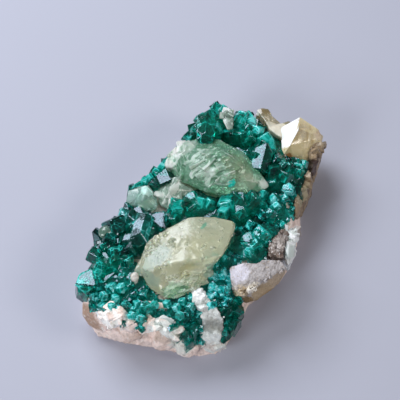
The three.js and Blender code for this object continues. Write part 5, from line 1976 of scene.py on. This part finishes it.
    def add_white_calcites(self) -> None:
        """Adds the ridge, the slab, the knobs, the blade and the chip."""
        white = StoneFinish(
            name="white calcite", light="#e4e8e3", dark="#bdbab3", blotch=2.0, stain=0.35, glint=0.15,
            roughness=0.5, grain=0.5, patches=(
                Patch((-16.4, -10.8, 15.8), (2.4, 2.6, 2.4), "#f8faf8", 0.95, 1.0),
                Patch((-18.2, -16.6, 10.4), (4.2, 4.0, 3.8), "#9fa19a", 0.95, 1.2),
                Patch((-21.6, -17.6, 5.0), (4.4, 4.6, 3.6), "#dccfc6", 0.8, 1.6)))
        rough = (Push("CLOUDS", 2.2, 0.8), Push("VORONOI", 1.1, 0.6), Push("CLOUDS", 0.5, 0.25))
        ridge = GrownPiece("white_ridge", "calcite_ridge", 0.25, rough, (
            Shard(((-20.9, -15.3, 9.0), (-20.0, -18.0, 7.5), (-17.6, -19.4, 8.0), (-17.8, -20.5, 5.0),
                   (-19.4, -20.7, 2.0), (-22.4, -18.9, 1.0), (-23.1, -15.6, 2.5), (-22.4, -14.4, 6.0),
                   (-19.0, -16.0, 2.0)), 0.3),
            Chip((-20.6, -16.6, 8.0), (4.4, 5.4, 6.0), (10, 14, 30), 6, 63)), (
            Shard(((-18.3, -13.9, 11.6), (-15.2, -16.3, 12.6), (-15.8, -18.2, 10.2), (-17.6, -19.4, 8.4),
                   (-20.0, -18.0, 8.2), (-20.9, -15.3, 9.4), (-17.0, -15.6, 6.0), (-19.0, -16.0, 4.0)),
                  0.15),
            Chip((-16.4, -10.8, 15.2), (4.0, 3.4, 2.4), (10, 20, 40), 6, 61, 0.04),
            Chip((-17.8, -13.0, 14.2), (3.6, 3.0, 2.8), (0, 30, 70), 6, 62, 0.04),
            *crumbs((-16.4, -11.0, 16.0), (1.2, 1.6, 0.8), 9, 1.6, 220),
            *crumbs((-16.6, -13.6, 13.4), (1.4, 1.6, 0.8), 8, 2.0, 240),
            *crumbs((-20.8, -18.0, 4.6), (2.0, 2.2, 2.4), 16, 2.4, 260)), crisp=32).build()
        self.keep(ridge, white, "calcite_white", "calcite_ridge")
        slab = GrownPiece("white_slab", "calcite_white_slab", 0.24, rough[1:], (
            Shard(((10.6, -19.2, 15.2), (12.5, -20.6, 14.8), (8.1, -21.0, 15.6), (9.1, -23.2, 14.4),
                   (6.5, -21.4, 15.0), (12.4, -18.6, 14.4), (10.0, -20.0, 8.0), (11.0, -22.0, 8.0))),
            Shard(((6.5, -21.4, 15.0), (4.7, -22.8, 14.8), (3.9, -24.0, 14.0), (5.2, -24.6, 12.8),
                   (9.5, -23.6, 12.5), (9.1, -22.8, 14.0), (6.0, -22.4, 8.0), (9.0, -22.0, 8.0)))), (
            *crumbs((10.8, -20.2, 15.0), (1.8, 1.2, 0.6), 7, 2.1, 500),
            *crumbs((12.8, -20.6, 14.0), (1.2, 1.0, 1.2), 5, 2.0, 530),
            Shard(((12.6, -17.6, 15.6), (11.2, -18.6, 16.2), (10.6, -19.8, 15.6), (13.2, -18.4, 14.8),
                   (12.0, -18.8, 12.0)), 0.06),
            Shard(((8.4, -21.4, 15.9), (6.2, -21.8, 15.5), (5.0, -23.4, 15.0), (6.4, -24.2, 13.8),
                   (9.4, -22.6, 14.4), (7.0, -22.4, 11.0)), 0.06)), crisp=28).build()
        clear = CalciteFinish(
            name="white clear calcite", clear="#eef6f2", milky="#fdfefe", veil=2.2, milk=0.8,
            transmission=0.2, patches=(
                Patch((11.0, -20.2, 15.2), (2.8, 2.0, 1.6), "#e6efea", 0.9, 1.0),
                Patch((7.0, -22.8, 14.6), (2.6, 1.8, 1.8), "#dcece4", 0.8, 1.6, frost=0.6),
                Patch((13.4, -21.2, 14.0), (2.0, 2.2, 3.0), "#9d918a", 0.95, 1.0)))
        self.keep(slab, clear, "calcite_white", "calcite_white_slab")
        soft = (Push("CLOUDS", 1.4, 0.25),)
        glassy = CalciteFinish(name="glassy calcite", clear="#93bda8", milky="#e6ece4", milk=0.3, worn=0.8)
        knob = CalciteFinish(name="knob calcite", clear="#d8d2c8", milky="#f0e8e0", milk=0.6,
                             transmission=0.3, worn=0.2)
        for node, finish in (("calcite_knob_rim", glassy), ("calcite_knob_tip", knob)):
            piece = GrownPiece(node.replace("calcite", "white"), node, 0.2, soft, wear=0.5).build()
            self.keep(piece, finish, "calcite_white", node)
        pale = CalciteFinish(name="pale calcite", clear="#a9c4b2", milky="#e4ece2", milk=0.4, patches=(
            Patch((31.4, 12.8, 19.0), (1.8, 1.8, 1.4), "#f4f5f3", 0.9, 0.6),))
        cloudy = CalciteFinish(name="cloudy calcite", clear="#d5e3dc", milky="#f4f8f4", milk=0.6,
                               transmission=0.35)
        chip = (Shard(((32.1, 14.1, 19.0), (32.7, 12.6, 19.0), (31.3, 11.1, 19.2), (29.4, 11.9, 19.4),
                       (30.3, 13.5, 19.2), (31.0, 13.0, 14.0)), 0.1),
                Shard(((30.6, 9.8, 19.0), (27.8, 8.3, 19.0), (26.6, 9.3, 19.0), (28.3, 11.8, 19.2),
                       (31.2, 12.0, 19.2), (29.0, 10.0, 14.0)), 0.1),
                *crumbs((30.8, 12.4, 19.0), (1.6, 1.4, 0.7), 7, 1.5, 560))
        blade = (Shard(((-25.5, -6.0, 12.2), (-22.7, -9.4, 12.7), (-24.2, -9.8, 11.2), (-26.5, -7.2, 9.7),
                        (-28.3, -4.9, 12.0), (-24.0, -7.0, 8.6)), 0.06),)
        for node, extras, finish in (("calcite_blade", blade, cloudy), ("calcite_chip", chip, pale)):
            piece = GrownPiece(node.replace("calcite", "pale"), node, 0.2, (Push("CLOUDS", 1.2, 0.2),), (),
                               extras).build()
            self.keep(piece, finish, "calcite_green", node)

    def add_crust(self) -> None:
        """Adds the dioptase."""
        self.keep(LyingPrism().build(), DioptaseFinish(), "dioptase", LyingPrism.NODE)
        for stand in druses():
            self.keep(stand.build(self.bench, self.surfaces), stand.finish, "dioptase", stand.node)

    def build(self) -> None:
        """Builds every piece in order."""
        self.add_rock()
        self.add_upper_calcite()
        self.add_lower_calcite()
        self.add_left_calcites()
        self.add_honey_calcites()
        self.add_grey_calcites()
        self.add_white_calcites()
        self.add_crust()


def main() -> None:
    """Builds the studio and the specimen."""
    logging.basicConfig(level=logging.INFO, format="%(name)s: %(message)s")
    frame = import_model()
    Studio().build()
    Specimen(CrystalBench(), Surfaces(frame["nodes"])).build()


if __name__ == "__main__":
    main()
